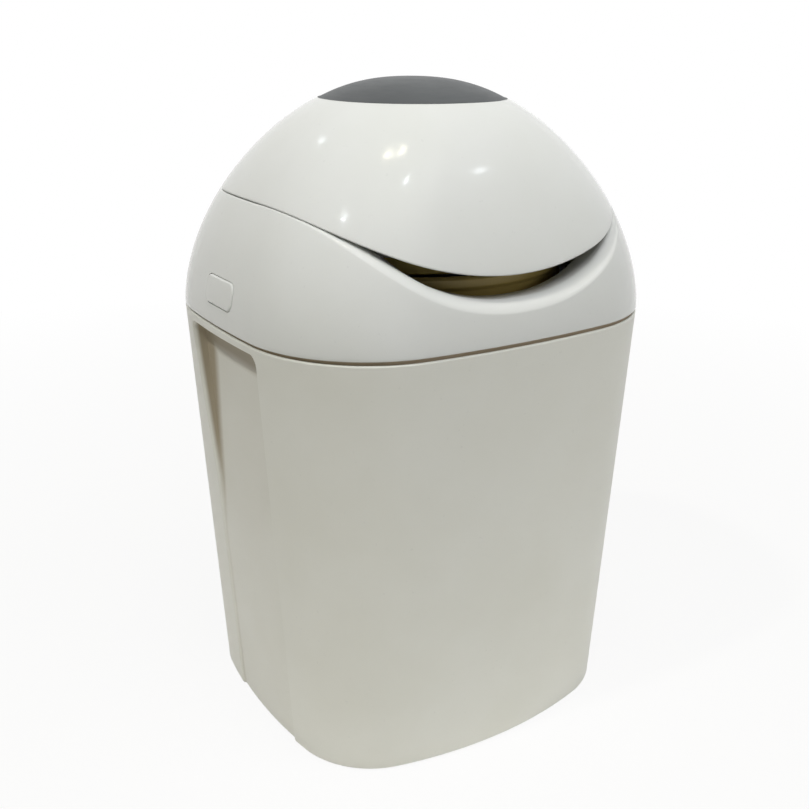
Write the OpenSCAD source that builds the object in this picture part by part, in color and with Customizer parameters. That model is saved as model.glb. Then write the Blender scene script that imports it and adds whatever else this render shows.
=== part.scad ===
// Nappy bin: a tub, a domed hood hinged at the back, a lid hinged on the hood, two push
// buttons that free the hood, and a twist carrier with a ring cassette of film.
// Millimetres. +Z is up, the front faces -Y, the origin is the centre of the base.

/* [Outline] */
// Half the width of the bin at the seam between tub and hood
seam_half_width = 132; // [126:0.5:150]
// Half the depth of the bin at the seam
seam_half_depth = 116.3; // [112:0.1:130]
// Radius of the front and back arcs of the plan at the seam
seam_front_arc = 572; // [400:1:900]
// Radius of the side arcs of the plan at the seam
seam_side_arc = 619; // [450:1:900]
// Corner radius of the plan at the seam
seam_corner = 77.2; // [60:0.1:95]
// Half the width of the tub at the floor
base_half_width = 116.6; // [112:0.1:126]
// Half the depth of the tub at the floor
base_half_depth = 109.4; // [100:0.1:111]
// Radius of the front and back arcs of the plan at the floor
base_front_arc = 279.8; // [220:1:500]
// Radius of the side arcs of the plan at the floor
base_side_arc = 344; // [250:1:500]
// Corner radius of the plan at the floor
base_corner = 56; // [40:1:80]
// Height of the seam
seam_z = 266; // [250:1:320]
// Height of the dome's top
top_z = 400; // [390:1:420]
// Radius of the round plan that the dome grows into
crown_round = 124.1; // [115:0.1:130]

/* [Walls] */
// Wall of the tub
tub_wall = 2.6; // [2:0.1:3.4]
// Thickness of the tub's floor
tub_floor = 2.8; // [2:0.1:5]
// Height of the foot ring under the floor
foot_height = 3.2; // [2:0.1:6]
// Width of the foot ring
foot_ring = 12; // [8:1:20]
// Wall of the hood and the lid
hood_wall = 2.5; // [2:0.1:3]
// Seam gap at the back of the bin
seam_gap_back = 0.5; // [0.3:0.1:1]
// Seam gap at the front of the bin
seam_gap_front = 2.3; // [1:0.1:3]

/* [Side recess] */
// Distance of the recess's top edge below the seam
recess_drop = 6; // [5:0.5:30]
// Depth of the recess at its top
recess_depth = 10; // [6:0.5:11]
// Least depth of the recess, at the floor
recess_base_depth = 1.5; // [1:0.1:4]
// Distance of the recess's front edge from the middle
recess_front = 46; // [40:1:52]
// Distance of the recess's back edge from the middle, at the top
recess_back_top = 45; // [38:1:50]
// Distance of the recess's back edge from the middle, at the floor
recess_back_base = 30; // [25:1:38]
// Lean of the recess's back edge above its upright part
recess_lean = 0.147; // [0:0.001:0.2]
// Radius of the recess's top corners
recess_round = 7; // [3:1:12]

/* [Lid and finger scoop] */
// Height of the lid's front edge
lid_front_z = 303; // [301:0.5:310]
// Height of the lid's level back edge
lid_back_z = 336; // [330:0.5:342]
// Gap between the lid's edge and the hood
lid_gap = 0.8; // [0.5:0.1:1.5]
// Height of the finger scoop's lip at the front
scoop_z = 282.5; // [279:0.5:290]
// How far the lip rises at the end of the scoop
scoop_rise = 46; // [40:1:52]
// Distance of the end of the scoop from the middle
scoop_half_width = 102; // [95:1:106]
// How flat the scoop's middle is
scoop_power = 2.3; // [2:0.1:3]
// Radius of the rounded lip in the scoop
lip_round = 8.5; // [3:0.5:10]
// Width of the hood's inner ledge under the lid
ledge_width = 10; // [7:0.5:12]
// Further width of the ledge in the scoop
scoop_ledge = 8; // [2:0.5:10]
// Height of the cap's edge on the dome
cap_edge_z = 388; // [382:0.5:392]
// Depth of the seat under the cap
cap_seat_depth = 2.2; // [1.5:0.1:4]
// Gap round the cap
cap_gap = 0.4; // [0.3:0.05:0.6]

/* [Hinges] */
// Radius of the hood hinge's pins
hood_pin_r = 2.5; // [2:0.1:3]
// Radius of the lid hinge's pins
lid_pin_r = 2; // [1.5:0.1:2.5]
// Running clearance of the pins in the hinged knuckles
pin_clearance = 0.05; // [0.02:0.01:0.09]
// Wall round a hinge pin
knuckle_wall = 2.4; // [2:0.1:3]
// Distance of each hood hinge from the middle
hood_hinge_x = 50; // [40:1:60]
// Distance of each lid hinge from the middle
lid_hinge_x = 35; // [28:1:42]
// Width of a hinge's middle knuckle
knuckle_width = 8; // [6:0.5:12]
// Width of a hinge's outer knuckles
ear_width = 6; // [4:0.5:8]
// Side gap between knuckles
knuckle_gap = 0.3; // [0.2:0.05:0.6]

/* [Cassette and carrier] */
// Radius of the film cassette
cassette_r = 88; // [85:0.5:89]
// Radius of the hole through the cassette
cassette_hole_r = 62; // [56:0.5:64]
// Height of the film cassette
cassette_h = 48; // [44:0.5:50]
// Wall of the cassette
cassette_wall = 1.6; // [1.2:0.1:2]
// Clearance of the cassette in its carrier
cassette_gap = 0.5; // [0.3:0.1:0.8]
// Wall of the carrier and of the well it turns in
carrier_wall = 2.4; // [2:0.1:2.8]
// Running gap between the carrier and its well
carrier_gap = 0.5; // [0.3:0.05:0.8]
// Height of the carrier's top rim
carrier_top = 299.6; // [298:0.1:300]
// Number of finger grips round the carrier's rim
grip_count = 24; // [12:1:30]
// Number of pleats in the film pack
pleat_count = 12; // [6:1:16]

/* [Deck] */
// Depth of the deck's well below its plate
well_depth = 26; // [24:0.5:30]
// Thickness of the deck's plate
deck_plate = 2.5; // [2:0.1:3]
// Clearance between the deck and the hood
deck_gap = 1.2; // [1:0.1:2]
// Height of the film grip under the well
grip_height = 14; // [12:1:20]
// Number of flexible grip fingers
finger_count = 12; // [8:1:16]
// Radius left open between the finger tips
finger_mouth = 24; // [20:1:32]

/* [Buttons and latches] */
// Length of a push button along the side
button_length = 36; // [28:1:40]
// Height of a push button
button_height = 16; // [12:0.5:18]
// Height of the middle of the button
button_z = 285.5; // [283:0.5:287]
// How far the button stands proud of the hood
button_proud = 0.8; // [0.4:0.1:2]
// Gap round the button
button_gap = 0.4; // [0.3:0.05:0.8]
// Travel of the button
button_travel = 3.5; // [2:0.1:4]
// Thickness of the latch arm
latch_thick = 2.5; // [2:0.1:3]
// Width of the latch arm
latch_width = 24; // [16:1:26]
// How far the latch nose sticks out of its arm
latch_nose = 2.4; // [2:0.1:2.6]
// Turns in a button spring
spring_turns = 4; // [3:1:5]

/* [Screws] */
// Radius of the screw shanks
screw_r = 1.6; // [1.4:0.1:2]
// Radius of the screw heads
screw_head_r = 3.4; // [3:0.1:4]
// Height of the screw heads
screw_head_h = 2.2; // [1.5:0.1:3]
// Length of the screw shanks
screw_length = 12; // [10:0.5:14]
// Radius of the screw bosses
boss_r = 4.2; // [4:0.1:5]

/* [Cutter] */
// Width of the cutter's slide
cutter_width = 15; // [12:0.5:20]
// Height of the cutter's slide
cutter_height = 6; // [5:0.5:8]
// Travel of the cutter
cutter_travel = 12; // [8:1:14]

/* [Hidden] */
$fn = 96;
close = 0.3;                     // face to face clearance between moving pieces
over = 0.01;                     // how far a cut runs past a face
dome_h = top_z - seam_z;
dome_rise_power = 1.631;         // how the dome's sections shrink with height
dome_side_power = 2.397;
dome_round_power = 2.387;        // how soon the plan turns round
side_steps = 3;
corner_steps = 8;
front_steps = 4;

// A plan outline: half sizes, arc radii, and what they fix about its corner arcs.
// Its arcs meet smoothly, so a corner's centre lies where two offset arcs cross.
function arc_cross(p0, r0, p1, r1) =
    let (d = norm(p1 - p0), u = (p1 - p0) / d, a = (r0 * r0 - r1 * r1 + d * d) / (2 * d),
         h = sqrt(max(0, r0 * r0 - a * a)))
    p0 + a * u + h * [-u[1], u[0]];
function plan(a, b, front, side, corner) =
    let (side_centre = [a - side, 0], front_centre = [0, b - front],
         c = arc_cross(side_centre, side - corner, front_centre, front - corner))
    [side_centre, side, front_centre, front, c, corner,
     atan2(c[1], c[0] - side_centre[0]), atan2(c[1] - front_centre[1], c[0])];
// The point of a plan whose outward normal has this angle
function plan_point(p, angle) =
    let (c = cos(angle), s = sin(angle), n = [abs(c), abs(s)], q = atan2(n[1], n[0]),
         v = q < p[6] ? p[0] + p[1] * n : q < p[7] ? p[4] + p[5] * n : p[2] + p[3] * n)
    [c < 0 ? -v[0] : v[0], s < 0 ? -v[1] : v[1]];

seam_plan = plan(seam_half_width, seam_half_depth, seam_front_arc, seam_side_arc, seam_corner);
base_plan = plan(base_half_width, base_half_depth, base_front_arc, base_side_arc, base_corner);
// Normal angles of the columns in one quarter: they fall where the arcs of both plans end
quarter_ends = [0, min(seam_plan[6], base_plan[6]), max(seam_plan[6], base_plan[6]),
    min(seam_plan[7], base_plan[7]), max(seam_plan[7], base_plan[7]), 90];
quarter_steps = [side_steps, 2, corner_steps, 2, front_steps];
quarter = [for (k = [0:4]) for (i = [0:quarter_steps[k] - 1])
    quarter_ends[k] + (quarter_ends[k + 1] - quarter_ends[k]) * i / quarter_steps[k]];
ring_angles = concat(quarter, [90], [for (i = [len(quarter) - 1:-1:1]) 180 - quarter[i]],
    [for (a = quarter) 180 + a], [270], [for (i = [len(quarter) - 1:-1:1]) 360 - quarter[i]]);

// The dome: t runs from 0 at the seam to 1 at the top, inset is the distance inside it
function dome_t(z, inset) = (z - seam_z) / (dome_h - inset);
function dome_xy(angle, t, inset) =
    let (g = pow(1 - pow(max(t, 0), dome_rise_power), 1 / dome_side_power),
         k = pow(max(t, 0), dome_round_power), n = [cos(angle), sin(angle)],
         p = plan_point(seam_plan, angle) - inset * n)
    (p * (1 - k) + (crown_round - inset) * n * k) * g;
function dome_point(angle, t, inset = 0) =
    let (p = dome_xy(angle, t, inset)) [p[0], p[1], seam_z + t * (dome_h - inset)];
// Height of the dome over a point at this radius near its top
function dome_height(r, inset) = seam_z + (dome_h - inset)
    * pow(1 - pow(r / (crown_round - inset), dome_side_power), 1 / dome_rise_power);

// The lid's edge: level at the back, and cut by a round arc across the front
lid_side_x = dome_xy(0, dome_t(lid_back_z, 0), 0)[0];
lid_rise = lid_back_z - lid_front_z;
lid_arc_r = (lid_side_x * lid_side_x + lid_rise * lid_rise) / (2 * lid_rise);
function lid_edge(p) = p[1] > 0 || abs(p[0]) > lid_side_x ? lid_back_z
    : lid_front_z + lid_arc_r - sqrt(lid_arc_r * lid_arc_r - p[0] * p[0]);
function scoop_edge(p) = scoop_z
    + scoop_rise * pow(abs(p[0]) / scoop_half_width, scoop_power);
// How free of the lid the scoop is here, from 0 to 1, and the lip's radius there
lip_least = 0.9;
function scoop_free(p) = p[1] > 0 ? 0
    : max(0, min(1, (lid_edge(p) - lid_gap - scoop_edge(p)) / lip_round));
function lip_r(p) = lip_least + (lip_round - lip_least) * scoop_free(p);
function hood_edge(p) = p[1] > 0 ? lid_back_z - lid_gap
    : min(scoop_edge(p) + 0.85 * lip_r(p), lid_edge(p) - lid_gap);
// Where a column of the dome meets an edge, found by halving
function meet(angle, is_lid, low = 0, high = 0.75, turns = 16) =
    let (t = (low + high) / 2, p = dome_point(angle, t),
         above = p[2] > (is_lid ? lid_edge(p) : hood_edge(p)))
    turns == 0 ? t : meet(angle, is_lid, above ? low : t, above ? t : high, turns - 1);

// A solid from rows of points that match one to one, each row running the same way round.
// It is closed at both ends by flat faces, or joined into a ring.
module skin(rows, ring = false) {
    n = len(rows[0]);
    last = len(rows) - 1;
    sides = [for (r = [0:ring ? last : last - 1]) for (i = [0:n - 1])
        let (a = r * n + i, b = r * n + (i + 1) % n,
             c = (r == last ? 0 : r + 1) * n + i, d = (r == last ? 0 : r + 1) * n + (i + 1) % n)
        each [[a, c, b], [b, c, d]]];
    ends = ring ? [] : [[for (i = [0:n - 1]) i], [for (i = [n - 1:-1:0]) last * n + i]];
    polyhedron(points = [for (row = rows) each row], faces = concat(sides, ends), convexity = 10);
}

screw_hole_gap = 0.2;            // gap round a screw in the piece that it holds
screw_fit = 0.02;                // gap round a screw in its boss
module mirrored() {
    children();
    mirror([1, 0, 0]) children();
}
module along_x(x, y, z) {
    translate([x, y, z]) rotate([0, 90, 0]) children();
}
module ring_of(r0, r1, z0, z1) {
    translate([0, 0, z0]) difference() {
        cylinder(r = r1, h = z1 - z0);
        translate([0, 0, -over]) cylinder(r = r0, h = z1 - z0 + 2 * over);
    }
}
module block(low, high) {
    translate(low) cube(high - low);
}

// Tub ------------------------------------------------------------------------------

tub_rim_back = seam_z - seam_gap_back;
tub_rim_tilt = (seam_gap_front - seam_gap_back) / (2 * seam_half_depth);
function tub_rim(y) = tub_rim_back - tub_rim_tilt * (seam_half_depth - y);
function tub_point(angle, z, inset) =
    let (n = [cos(angle), sin(angle)], k = z / seam_z,
         p = plan_point(base_plan, angle) * (1 - k) + plan_point(seam_plan, angle) * k - inset * n)
    [p[0], p[1], z];
base_round = 3;                  // rounding of the tub's bottom edge
rim_round = 1;                   // rounding of the tub's top edge
rim_step = 1.5;                  // width of the rim outside the tongue that closes the seam
tub_floor_z = foot_height + tub_floor;

// The recess in each side has an upright floor, so it grows shallow towards the base.
recess_top = seam_z - recess_drop;
recess_floor_x = tub_point(0, recess_top, recess_depth)[0];
recess_draft = 1.2;              // how far a wall of the recess leans over its depth
function recess_corner(z) = recess_round - sqrt(pow(recess_round, 2)
    - pow(min(recess_round, max(0, z - recess_top + recess_round)), 2));
function back_edge(z) = max(recess_back_base, recess_back_top - recess_lean * (recess_top - z))
    - recess_corner(z);
function front_edge(z) = recess_front - recess_corner(z);
// The normal angle at which the tub's side is this far from the middle plane
function side_angle(y, z, low = 0, high = side_end, turns = 14) =
    let (mid = (low + high) / 2)
    turns == 0 ? mid : tub_point(mid, z, 0)[1] > y ? side_angle(y, z, low, mid, turns - 1)
        : side_angle(y, z, mid, high, turns - 1);
side_end = quarter_ends[2];
recess_columns = 5;
// Half a ring of the tub, from the middle of the front to the middle of the back. Two of its
// columns follow each upright edge of the recess; grow is how far the edges stand outside it.
function tub_half(z, inset, grow, place) =
    let (back = back_edge(z - grow) + grow, front = front_edge(z - grow) + grow,
         outer = [-side_angle(front, z), side_angle(back, z)],
         inner = [-side_angle(front - recess_draft, z), side_angle(back - recess_draft, z)])
    concat([for (i = [0:len(far_angles) - 1]) tub_at(-far_angles[i], z, inset, place)],
        [tub_at((outer[0] - side_end) / 2, z, inset, place), tub_at(outer[0], z, inset, place)],
        [for (i = [0:recess_columns]) let (a = inner[0] + (inner[1] - inner[0]) * i
            / recess_columns, p = tub_at(a, z, inset, place))
            place == "recess" ? [min(p[0] - recess_base_depth, recess_floor_x - grow), p[1], p[2]]
                : p],
        [tub_at(outer[1], z, inset, place), tub_at((outer[1] + side_end) / 2, z, inset, place)],
        [for (i = [len(far_angles) - 1:-1:0]) tub_at(far_angles[i], z, inset, place)]);
far_first = side_steps + quarter_steps[1];
far_angles = concat([90], [for (i = [len(quarter) - 1:-1:far_first]) quarter[i]]);
// The rim follows the seam, which falls towards the front
function tub_at(angle, z, inset, place) = let (p = tub_point(angle, z, inset))
    place == "rim" ? tub_point(angle, tub_rim(p[1]) + z - seam_z, inset) : p;
function tub_row(z, inset, grow, place = "recess") = let (h = tub_half(z, inset, grow, place))
    concat(h, [for (i = [len(h) - 2:-1:1]) [-h[i][0], h[i][1], h[i][2]]]);
// The foot ring stands round a shallow pocket under the floor
function foot_row(z, width) = let (h = tub_half(0, base_round + width, 0, "side"))
    concat([for (p = h) [p[0], p[1], z]], [for (i = [len(h) - 2:-1:1]) [-h[i][0], h[i][1], z]]);
recess_knee = recess_top - (recess_back_top - recess_back_base) / max(recess_lean, 0.01);
recess_low_z = 58;               // lowest of the rows that follow the recess's edges
recess_heights = [recess_low_z, max(recess_knee, recess_low_z + recess_round),
    recess_top - 3 * recess_round, recess_top - recess_round, recess_top - 0.6 * recess_round,
    recess_top - 0.3 * recess_round];
tub_rows = concat(
    [foot_row(foot_height, foot_ring + 1), foot_row(0, foot_ring),
     tub_row(0, base_round, 0), tub_row(base_round * 0.3, base_round * 0.3, 0),
     tub_row(base_round, 0, 0)],
    [for (z = recess_heights) tub_row(z, 0, 0)],
    [tub_row(recess_top - recess_draft, 0, 0), tub_row(recess_top, 0, 0, "side"),
     tub_row(seam_z - rim_round, 0, 0, "rim"), tub_row(seam_z, rim_round * 0.3, 0, "rim"),
     tub_row(seam_z, rim_step, 0, "rim"), tub_row(seam_z - close, rim_step, 0, "side"),
     tub_row(seam_z - close, tub_wall, tub_wall, "side"),
     tub_row(recess_top + tub_wall, tub_wall, tub_wall, "side"),
     tub_row(recess_top + tub_wall - recess_draft, tub_wall, tub_wall)],
    [for (i = [len(recess_heights) - 1:-1:0])
        tub_row(recess_heights[i] + (i > 1 ? tub_wall : 0), tub_wall, tub_wall)],
    [tub_row(tub_floor_z + base_round, tub_wall, tub_wall),
     tub_row(tub_floor_z, tub_wall + base_round, tub_wall)]);

catch_reach = 3.5;               // how far a catch stands in from the recess's wall
catch_height = 4;
catch_z = recess_top - 10;       // underside of the catch
catch_end_x = recess_floor_x - tub_wall - catch_reach;
catch_half = latch_width / 2 + 2;

tub_lug_gap = 0.6;               // how far a hood knuckle's seat stays from the tub
module tub_lugs() {
    reach = hood_axis_y - seam_half_depth;
    for (side = [-1, 1]) for (end = [-1, 1])
        translate([side * hood_hinge_x + end * (knuckle_width / 2 + knuckle_gap + ear_width / 2),
                   0, hood_axis_z]) {
            translate([0, hood_axis_y, 0]) rotate([0, 90, 0])
                cylinder(r = hood_knuckle_r, h = ear_width, center = true);
            translate([-ear_width / 2, seam_half_depth - lug_root, -hood_lug_drop])
                cube([ear_width, reach + lug_root + hood_knuckle_r * 0.7,
                      hood_lug_drop - hood_knuckle_r * 0.5]);
            translate([-ear_width / 2, hood_axis_y - hood_knuckle_r, -hood_lug_drop])
                cube([ear_width, hood_knuckle_r * 1.7, hood_lug_drop]);
        }
}
lug_root = 4;                    // how far a lug reaches into the wall that carries it
hood_lug_drop = 14;
hood_knuckle_r = hood_pin_r + knuckle_wall;
hood_axis_y = seam_half_depth + hood_knuckle_r - 0.2;
hood_axis_z = seam_z;

module tub() {
    color([0.77, 0.77, 0.74]) difference() {
        union() {
            skin(tub_rows);
            mirrored() translate([catch_end_x, -catch_half, catch_z])
                cube([catch_reach + 0.6 * tub_wall, 2 * catch_half, catch_height]);
            tub_lugs();
        }
        for (side = [-1, 1])
            along_x(side * hood_hinge_x - hood_pin_length, hood_axis_y, hood_axis_z)
                cylinder(r = hood_pin_r, h = 2 * hood_pin_length);
    }
}

hood_pin_length = knuckle_width + 2 * (knuckle_gap + ear_width) + 1;
module hood_hinge_pins() {
    color([0.72, 0.73, 0.75]) for (side = [-1, 1])
        along_x(side * hood_hinge_x - hood_pin_length / 2, hood_axis_y, hood_axis_z) {
            cylinder(r = hood_pin_r, h = hood_pin_length);
            translate([0, 0, hood_pin_length - 0.5 + over])
                cylinder(r = hood_pin_r + 1, h = 1);
        }
}

// Hood -----------------------------------------------------------------------------

lid_knuckle_r = lid_pin_r + knuckle_wall;
lid_axis_y = dome_xy(90, dome_t(lid_back_z, 0), 0)[1] + 2.6;
lid_axis_z = lid_back_z;
hood_lip_drop = 0.6;             // fall of the ledge towards the inside

// One column of the hood: up the outside, over the lip, along the ledge and down the inside
function hood_column(angle) =
    let (t = meet(angle, false), e = dome_point(angle, t), n = [cos(angle), sin(angle), 0],
         r = lip_r(e), t0 = t - r * 0.8 / dome_h,
         s = dome_point(angle, t0), inner = e - n * (r * 0.8 + 1),
         ledge = e - n * (ledge_width + scoop_ledge * scoop_free(e)) - [0, 0, hood_lip_drop],
         ti = dome_t(e[2] - hood_wall - hood_lip_drop - 0.6, hood_wall))
    [for (i = [0:5]) dome_point(angle, t0 * i / 5),
     s * 0.5 + e * 0.4 + inner * 0.1, s * 0.15 + e * 0.6 + inner * 0.25, inner, ledge,
     ledge - [0, 0, hood_wall],
     for (i = [0:3]) dome_point(angle, ti * (1 - i / 3), hood_wall)];

function turned(columns) = [for (i = [0:len(columns[0]) - 1]) [for (c = columns) c[i]]];

button_slope = 11.6;             // lean of the hood's side at the button, in degrees
button_face_x = dome_xy(0, dome_t(button_z, 0), 0)[0] + button_proud;
button_corner = 5;
module button_outline(grow) {
    w = button_length / 2 - button_corner;
    h = button_height / 2 - button_corner;
    hull() for (x = [-w, w]) for (y = [-h, h])
        translate([x, y]) circle(r = button_corner + grow, $fn = 32);
}
module button_window() {
    translate([button_face_x - 12, 0, button_z]) rotate([90, 0, 90])
        linear_extrude(height = 20) button_outline(button_gap);
}
// Screw bosses stand on the hood's wall at these angles of the plan
boss_angles = [35, 145, 215, 325];
boss_inset = 8;
function boss_place(angle) = plan_point(seam_plan, angle) - boss_inset * [cos(angle), sin(angle)];
boss_base_z = seam_z + deck_plate + 0.2;
boss_height = 20;

module hood_bosses() {
    for (a = boss_angles) translate([boss_place(a)[0], boss_place(a)[1], boss_base_z])
        cylinder(r = boss_r, h = boss_height);
}
module boss_bores() {
    for (a = boss_angles) translate([boss_place(a)[0], boss_place(a)[1], boss_base_z - over])
        cylinder(r = screw_r, h = screw_length);
}
// Knuckles that carry the hood on the tub's lugs
module hood_knuckles() {
    for (side = [-1, 1]) translate([side * hood_hinge_x - knuckle_width / 2, 0, hood_axis_z]) {
        translate([0, hood_axis_y, 0]) rotate([0, 90, 0])
            cylinder(r = hood_knuckle_r, h = knuckle_width);
        translate([0, seam_half_depth - lug_root - 1, hood_knuckle_r * 0.3])
            cube([knuckle_width, hood_axis_y - seam_half_depth + lug_root + 1 + hood_knuckle_r * 0.7,
                  hood_lug_drop - hood_knuckle_r * 0.5]);
    }
}
lid_ear_offset = knuckle_width / 2 + knuckle_gap + ear_width / 2;
module lid_ears() {
    for (side = [-1, 1]) for (end = [-1, 1])
        translate([side * lid_hinge_x + end * lid_ear_offset, lid_axis_y, lid_axis_z]) {
            rotate([0, 90, 0]) cylinder(r = lid_knuckle_r, h = ear_width, center = true);
            translate([-ear_width / 2, -4.2, -10]) cube([ear_width, 4.2 + lid_knuckle_r * 0.8, 8]);
        }
}
module hood() {
    color([0.87, 0.87, 0.85]) difference() {
        union() {
            difference() {
                skin(turned([for (a = ring_angles) hood_column(a)]), true);
                for (side = [-1, 1])
                    along_x(side * lid_hinge_x - knuckle_width / 2 - knuckle_gap, lid_axis_y,
                            lid_axis_z)
                        cylinder(r = lid_knuckle_r + 0.6, h = knuckle_width + 2 * knuckle_gap);
            }
            lid_ears();
            hood_bosses();
            hood_knuckles();
        }
        mirrored() button_window();
        boss_bores();
        for (side = [-1, 1]) {
            along_x(side * lid_hinge_x - lid_pin_length, lid_axis_y, lid_axis_z)
                cylinder(r = lid_pin_r, h = 2 * lid_pin_length);
            along_x(side * hood_hinge_x - hood_pin_length / 2, hood_axis_y, hood_axis_z)
                cylinder(r = hood_pin_r + pin_clearance, h = hood_pin_length);
            for (end = [-1, 1])
                translate([side * hood_hinge_x + end * (knuckle_width / 2 + knuckle_gap
                               + ear_width / 2), hood_axis_y, hood_axis_z]) rotate([0, 90, 0])
                    cylinder(r = hood_knuckle_r + tub_lug_gap, h = ear_width + 2 * knuckle_gap,
                             center = true);
        }
    }
}

lid_pin_length = knuckle_width + 2 * (knuckle_gap + ear_width);
module lid_hinge_pins() {
    color([0.72, 0.73, 0.75]) for (side = [-1, 1])
        along_x(side * lid_hinge_x - lid_pin_length / 2, lid_axis_y, lid_axis_z)
            cylinder(r = lid_pin_r, h = lid_pin_length);
}

// Lid ------------------------------------------------------------------------------

cap_t = dome_t(cap_edge_z, 0);
cap_seat_z = cap_edge_z - cap_seat_depth;
// The lid's edge is level across its wall
function lid_row(k, inset, top_t) = [for (a = ring_angles)
    let (t0 = dome_t(dome_point(a, meet(a, true))[2], inset))
    dome_point(a, t0 + (top_t - t0) * k, inset)];
function cap_ring(t, shrink, z) = [for (a = ring_angles)
    let (p = dome_xy(a, t, 0) - shrink * [cos(a), sin(a)]) [p[0], p[1], z]];
lid_inner_top = dome_t(cap_seat_z - hood_wall, hood_wall);
lid_rows = concat(
    [for (i = [6:-1:0]) lid_row(i / 6, hood_wall, lid_inner_top)],
    [for (i = [0:9]) lid_row(i / 9, 0, cap_t)],
    [cap_ring(cap_t, 0.05, cap_edge_z - 0.4), cap_ring(cap_t, 0.1, cap_seat_z)]);

liner_z = lid_back_z + 1;        // underside of the liner's plate
liner_plate = 2.4;
liner_r = 86;
liner_boss_r = 58;               // distance of the liner's bosses from the middle
liner_boss_angles = [45, 135, 225, 315];
function liner_place(a) = [liner_boss_r * cos(a), liner_boss_r * sin(a)];

module lid() {
    color([0.88, 0.88, 0.86]) difference() {
        union() {
            difference() {
                skin(lid_rows);
                for (side = [-1, 1]) for (end = [-1, 1])
                    translate([side * lid_hinge_x + end * lid_ear_offset, lid_axis_y, lid_axis_z])
                        rotate([0, 90, 0]) cylinder(r = lid_knuckle_r + 0.6,
                            h = ear_width + 2 * knuckle_gap, center = true);
            }
            for (side = [-1, 1])
                translate([side * lid_hinge_x - knuckle_width / 2, lid_axis_y, lid_axis_z]) {
                    rotate([0, 90, 0]) cylinder(r = lid_knuckle_r, h = knuckle_width);
                    translate([0, -6, 0.8]) cube([knuckle_width, 6, lid_knuckle_r + 1.6]);
                }
            for (a = liner_boss_angles)
                translate([liner_place(a)[0], liner_place(a)[1], liner_z + liner_plate])
                    cylinder(r = boss_r, h = dome_height(liner_boss_r, hood_wall)
                        - liner_z - liner_plate);
        }
        for (a = liner_boss_angles)
            translate([liner_place(a)[0], liner_place(a)[1], liner_z]) cylinder(r = screw_r,
                h = screw_length);
        for (side = [-1, 1])
            along_x(side * lid_hinge_x - knuckle_width, lid_axis_y, lid_axis_z)
                cylinder(r = lid_pin_r + pin_clearance, h = 2 * knuckle_width);
    }
}

cap_rows = concat([cap_ring(cap_t, cap_gap, cap_seat_z)],
    [for (i = [0:5]) [for (a = ring_angles)
        let (p = dome_xy(a, cap_t + (0.999 - cap_t) * i / 5, 0)
                 - cap_gap * (1 - i / 5) * [cos(a), sin(a)])
        [p[0], p[1], seam_z + (cap_t + (1 - cap_t) * i / 5) * dome_h]]]);
module lid_cap() {
    color([0.44, 0.45, 0.46]) skin(cap_rows);
}

skirt_r = 80;                    // inner radius of the liner's skirt
skirt_end_z = carrier_top + close + 6;
module lid_liner() {
    color([0.80, 0.80, 0.78]) difference() {
        rotate_extrude() polygon([
            [0, liner_z], [skirt_r, liner_z], [skirt_r, skirt_end_z],
            [skirt_r + liner_plate, skirt_end_z], [skirt_r + liner_plate, liner_z],
            [liner_r, liner_z], [liner_r, liner_z + liner_plate], [0, liner_z + liner_plate]]);
        for (a = liner_boss_angles)
            translate([liner_place(a)[0], liner_place(a)[1], liner_z - over])
                cylinder(r = screw_r + screw_hole_gap, h = liner_plate + 2 * over);
    }
}
module screw() {
    cylinder(r = screw_r - screw_fit, h = screw_length - 1);
    translate([0, 0, -screw_head_h]) difference() {
        cylinder(r = screw_head_r, h = screw_head_h);
        for (turn = [0, 90]) rotate([0, 0, turn])
            translate([-screw_head_r * 0.55, -0.4, -over])
                cube([screw_head_r * 1.1, 0.8, screw_head_h * 0.5]);
    }
}
module liner_screws() {
    color([0.70, 0.71, 0.73]) for (a = liner_boss_angles)
        translate([liner_place(a)[0], liner_place(a)[1], liner_z]) screw();
}
module lid_seal() {
    color([0.55, 0.56, 0.57]) rotate_extrude() polygon([
        [skirt_r - 2, carrier_top + close], [skirt_r + liner_plate + 2, carrier_top + close],
        [skirt_r + liner_plate + 2, skirt_end_z + 3], [skirt_r + liner_plate, skirt_end_z + 3],
        [skirt_r + liner_plate, skirt_end_z], [skirt_r, skirt_end_z],
        [skirt_r, skirt_end_z + 3], [skirt_r - 2, skirt_end_z + 3]]);
}

// Deck -----------------------------------------------------------------------------

deck_z = seam_z;                 // underside of the deck's plate
deck_top = deck_z + deck_plate;
carrier_r = cassette_r + cassette_gap + carrier_wall;
well_r = carrier_r + carrier_gap;
well_floor_z = deck_z - well_depth;
flange_r = carrier_r + 4;        // radius of the carrier's bearing flange
flange_h = 2.2;
retainer_r = flange_r + 4.5;
retainer_h = 2;
throat_r = cassette_hole_r + 3;
retainer_z = deck_top + close + flange_h + close;
lug_angles = [45, 135, 225, 315];
lug_ring = retainer_r + 1.5;     // radius of the retainer's screw circle
latch_x = catch_end_x - close - latch_nose; // outer face of the latch arm
latch_slot = button_travel + 0.8;
guide_gap = 0.4;
spring_length = 8;
spring_seat_x = latch_x - latch_thick - spring_length - close;
spring_seat_thick = 2;
guide_top = button_z + 6;

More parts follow.
